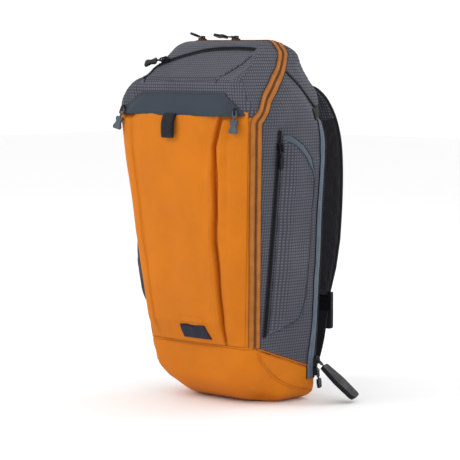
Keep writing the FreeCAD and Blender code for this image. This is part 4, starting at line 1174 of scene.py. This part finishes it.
# ---------------------------------------------------------------- padding, straps and webbing
def puffed(name, node, cap, shape, body="pack", material="mesh", shrink=0.965):
    """A padded piece: the CAD solid remeshed, blown up as cloth with its travel capped, then given
    its channels."""
    obj = bpy.data.objects.new(name, NODES[node].data.copy())
    bpy.context.scene.collection.objects.link(obj)
    centre = sum((v.co for v in obj.data.vertices), Vector()) / len(obj.data.vertices)
    for v in obj.data.vertices:
        v.co = centre + (v.co - centre) * shrink
    modified(obj, ("REMESH", dict(mode="VOXEL", voxel_size=4.5 * MM, use_smooth_shade=True)),
             ("SMOOTH", dict(factor=0.5, iterations=3)))
    rest = [v.co.copy() for v in obj.data.vertices]
    cloth = obj.modifiers.new("Cloth", "CLOTH")
    cloth.settings.use_pressure = True
    cloth.settings.uniform_pressure_force = 4.0
    cloth.settings.effector_weights.gravity = 0.0
    for number in range(1, 21):
        bpy.context.scene.frame_set(number)
    depsgraph = bpy.context.evaluated_depsgraph_get()
    moved = [v.co.copy() for v in obj.evaluated_get(depsgraph).data.vertices]
    obj.modifiers.clear()
    bpy.context.scene.frame_set(1)
    for v, a, b in zip(obj.data.vertices, rest, moved):
        step = b - a
        v.co = a + (step * (cap * MM / step.length) if step.length > cap * MM else step)
    modified(obj, ("SUBSURF", dict(levels=1, render_levels=1)))
    obj.data.update()
    for v, move in [(v, shape(v.co / MM, v.normal)) for v in obj.data.vertices]:
        v.co += Vector(move) * MM
    obj.data.polygons.foreach_set("use_smooth", [True] * len(obj.data.polygons))
    finish_piece(obj, body, M[material], [node])
    return obj


def pad_channels(p, normal):
    """Level channels pressed across the back pads, and a hollow up the middle of each."""
    outer = smooth(92, 98, p.y)
    groove = sum(bump(p.z, z, 5.0) for z in (222, 294, 366))
    return (0, (-4.2 * groove + 0.9 * ripple(p, 24, seed=2.0)) * outer, 0)


def lumbar_channels(p, normal):
    outer = smooth(92, 99, p.y)
    groove = bump(p.x, -42, 4.5) + bump(p.x, 42, 4.5)
    return (0, (-4.2 * groove + 0.9 * ripple(p, 26, seed=5.0)) * outer, 0)


def slight(p, normal):
    return tuple(c * 0.5 * ripple(p, 18, seed=1.0) for c in normal)


for suffix in ("right", "left"):
    puffed(f"back_pad_{suffix}_mesh", f"back_pad_{suffix}", 4.0, pad_channels)
puffed("lumbar_pad_mesh", "lumbar_pad", 5.0, lumbar_channels)
puffed("harness_yoke_cloth", "harness_yoke", 3.0, slight, material="ripstop")

STRAP_PATH = [(104, 487.5), (118, 484), (136, 466), (150, 436), (157, 400), (158, 355), (154, 300),
              (148, 245), (143, 200),
              (140, 168), (140.4, 157)]
STRAP_X = [58, 60, 64, 69, 73, 76, 79, 82, 84, 85, 85]
STRAP_HALF = [27, 29, 31, 32, 32, 31, 30, 28, 22, 14, 10.5]
STRAP_THICK = 11.0


def strap_frames(side, step=2.0):
    """Frames down a strap's middle with its half width; the normal points away from the bag."""
    knots = [(Vector((side * x, y, z)), half) for x, (y, z), half in zip(STRAP_X, STRAP_PATH, STRAP_HALF)]
    centre = spaced(rounded([p for p, _ in knots], 2), step)
    out = []
    for i, p in enumerate(centre):
        t = (centre[min(i + 1, len(centre) - 1)] - centre[max(i - 1, 0)]).normalized()
        across = Vector((1, 0, 0)) - t * t.x
        across.normalize()
        half = along(sorted((-k.z, h) for k, h in knots), -p.z)
        n = across.cross(t).normalized()
        out.append((p, t, across, -n if n.y < 0 and t.z < -0.5 else n, half))
    return out


def strap_mesh(side):
    """The padded strap: full in the middle, pinched at its bound edges; outer face first, then the
    inner one."""
    verts, faces, slots = [], [], []
    frames = strap_frames(side)
    columns = 22
    for k, (p, t, across, n, half) in enumerate(frames):
        ends = smooth(0, 5, min(k, len(frames) - 1 - k))
        for face in (1, -1):
            for c in range(columns):
                a = -1 + 2 * c / (columns - 1)
                a = a if face > 0 else -a
                crown = (1 - abs(a) ** 3.2) ** 0.6 if abs(a) < 1 else 0.0
                thick = (1.3 + (STRAP_THICK / 2 - 1.3) * crown) * (0.55 + 0.45 * ends)
                soft = 0.7 * ripple(p + across * (a * half), 22, seed=4.0 + face) * crown
                channel = -1.3 * bump(abs(a), 0.62, 0.07) if face < 0 else 0.0
                verts.append((p + across * (a * half) + n * (face * (thick + channel * crown) + soft)) * MM)
    ring = columns * 2
    for k in range(len(frames) - 1):
        for c in range(ring):
            a, b = k * ring + c, k * ring + (c + 1) % ring
            faces.append((a, b, b + ring, a + ring))
            slots.append(0 if c < columns or frames[k][0].z > 436 else 1)
    faces += [tuple(range(ring))[::-1], tuple(range((len(frames) - 1) * ring, len(frames) * ring))]
    slots += [0, 0]
    obj = new_object(f"strap_{'right' if side > 0 else 'left'}_padded", verts, faces)
    obj.data.materials.append(M["ripstop"])
    obj.data.materials.append(M["mesh"])
    obj.data.polygons.foreach_set("material_index", slots)
    return facing_out(obj)


def hang_on_harness(obj, replaces=()):
    """A soft piece that leaves the sewn bar: its transform is baked into its mesh and the CAD pieces it
    replaces are hidden.
    """
    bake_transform(obj)
    if replaces:
        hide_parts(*replaces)


for side, suffix in ((1, "right"), (-1, "left")):
    strap = strap_mesh(side)
    frames = strap_frames(side)
    hang_on_harness(strap, [f"strap_{suffix}"])
    for edge in (1, -1):
        rim = [(p + across * (edge * (half - 0.4)), t, across, n) for p, t, across, n, half in frames]
        binding = merged(f"strap_{suffix}_binding_{'outer' if edge > 0 else 'inner'}",
                         [ribbon(rim, round_section(2.3, 0))])
        binding.data.materials.append(M["webbing"])
        hang_on_harness(binding)
    tape = [(p + n * (STRAP_THICK / 2 + 0.9), t, across, n) for p, t, across, n,
            half in frames if 245 < p.z < 452]
    band = merged(f"strap_{suffix}_webbing_band", [ribbon(tape, flat_section(-10, 10, -0.6, 0.9, 6))])
    finish_piece(band, "harness", M["orange_webbing"], [f"strap_webbing_{suffix}"])
    bars = merged(f"strap_{suffix}_bar_tacks", [stitches(tape, a, 1.1, 2.2, 1.2) for a in (-7.5, 7.5)])
    finish_piece(bars, "harness", M["orange_thread"])


LOWER_WEB = [(90, 34), (94, 40), (112, 68), (126, 96), (134, 118), (137.5, 126)]
LOWER_X = [97, 97, 94, 90, 86, 85]
for side, suffix in ((1, "right"), (-1, "left")):
    path = [(side * x, y, z) for x, (y, z) in zip(LOWER_X, LOWER_WEB)]
    path = [(side * 97, 84, 30)] + path + [(side * 85, 141.5, 140), (side * 85, 140.6, 158)]
    lower = merged(f"lower_webbing_{suffix}_band", [webbing_loop(path, 10.5, 1.8)])
    lower.data.materials.append(M["webbing"])
    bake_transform(lower)
    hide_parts(f"lower_webbing_{suffix}")

loop = merged("haul_loop_webbing", [
    webbing_loop([(0, 97.6, 499), (0, 97.9, 514), (0, 99.2, 530), (0, 109.6, 535.4), (0, 117.8, 524),
                  (0, 113.6, 514),
                  (0, 108.6, 501.5), (0, 100.5, 501.8)], 12.3, 1.9)])
finish_piece(loop, "haul_loop", M["webbing"], ["haul_loop"])

# ---------------------------------------------------------------- materials of the CAD pieces that stay
KEPT_MATERIALS = {
    "slate_plastic": ["toggle_right", "toggle_left"],
    "plastic": ["main_zip_right_slider", "main_zip_right_pull", "main_zip_left_slider",
                "main_zip_left_pull",
                "top_zip_slider", "top_zip_pull", "side_zip_right_slider", "side_zip_right_pull",
                "side_zip_left_slider",
                "side_zip_left_pull", "rear_zip_slider", "rear_handle", "rear_stop_slider",
                "rear_stop_pull",
                "ladder_lock_right", "ladder_lock_left", "buckle_female", "buckle_male"],
    "webbing": ["web_keeper_right", "web_keeper_left", "chest_strap_right", "chest_strap_left",
                "toggle_right_staple",
                "toggle_left_staple"],
    "sheet": ["frame_sheet"],
    "lining": ["laptop_sleeve"],
}
for material, nodes in KEPT_MATERIALS.items():
    for node in nodes:
        for k in range(len(NODES[node].data.materials)):
            NODES[node].data.materials[k] = M[material]


def faces_inside(p, n):
    """1 on the faces that look at the bag's middle."""
    return 1 if n.dot(Vector((p.x * 0.9, p.y - 22, p.z - max(p.z, 60.0)))) < -2.0 else 0


# Insides: the front panel and the base show their lining inside.
paint(shell["front_inner_shell"], [M["orange"], M["lining"]], faces_inside)
paint(shell["base_boot_shell"], [M["orange"], M["lining"]], faces_inside)


# ---------------------------------------------------------------- stage, light and camera
def area_light(name, place, target, size, power, tint=(1, 1, 1)):
    data = bpy.data.lights.new(name, "AREA")
    data.shape = "RECTANGLE"
    data.size, data.size_y = size
    data.energy = power
    data.color = tint
    light = bpy.data.objects.new(name, data)
    light.location = place
    light.rotation_euler = (Vector(target) - Vector(place)).to_track_quat("-Z", "Y").to_euler()
    bpy.context.scene.collection.objects.link(light)


def build_stage():
    floor = new_object("floor", [(-8, -8, -0.0008), (8, -8, -0.0008), (8, 8, -0.0008), (-8, 8, -0.0008)],
                       [(0, 1, 2, 3)], False)
    n = Nodes("pale_floor", (0.93, 0.93, 0.93), 0.8, 0.0, 0.2)
    floor.data.materials.append(n.mat)
    world = bpy.data.worlds.new("studio")
    world.use_nodes = True
    world.node_tree.nodes["Background"].inputs[0].default_value = (1.0, 1.0, 1.0, 1.0)
    world.node_tree.nodes["Background"].inputs[1].default_value = 1.04
    bpy.context.scene.world = world
    middle = (0, 0, 0.28)
    area_light("key", (-1.5, -2.4, 2.1), middle, (1.4, 1.4), 30)
    area_light("fill", (2.6, -1.0, 1.1), middle, (1.6, 1.6), 8)
    area_light("rim", (0.6, 2.4, 1.7), middle, (1.4, 1.0), 14)


def build_camera():
    """A long lens at the photograph's angle; distances in metres."""
    azimuth, elevation, distance = math.radians(43.0), math.radians(5.0), 3.2
    pixels_per_metre, width = 637.5, 460
    target = Vector((0.0060, 0.0056, 0.2638))
    away = Vector((math.sin(azimuth) * math.cos(elevation), -math.cos(azimuth) * math.cos(elevation),
                   math.sin(elevation)))
    data = bpy.data.cameras.new("camera")
    data.sensor_width = 36.0
    data.lens = pixels_per_metre * distance * data.sensor_width / width
    data.clip_end = 50
    camera = bpy.data.objects.new("camera", data)
    camera.location = target + away * distance
    camera.rotation_euler = (-away).to_track_quat("-Z", "Y").to_euler()
    bpy.context.scene.collection.objects.link(camera)
    bpy.context.scene.camera = camera


build_stage()
build_camera()
bpy.context.scene.view_settings.view_transform = "Standard"
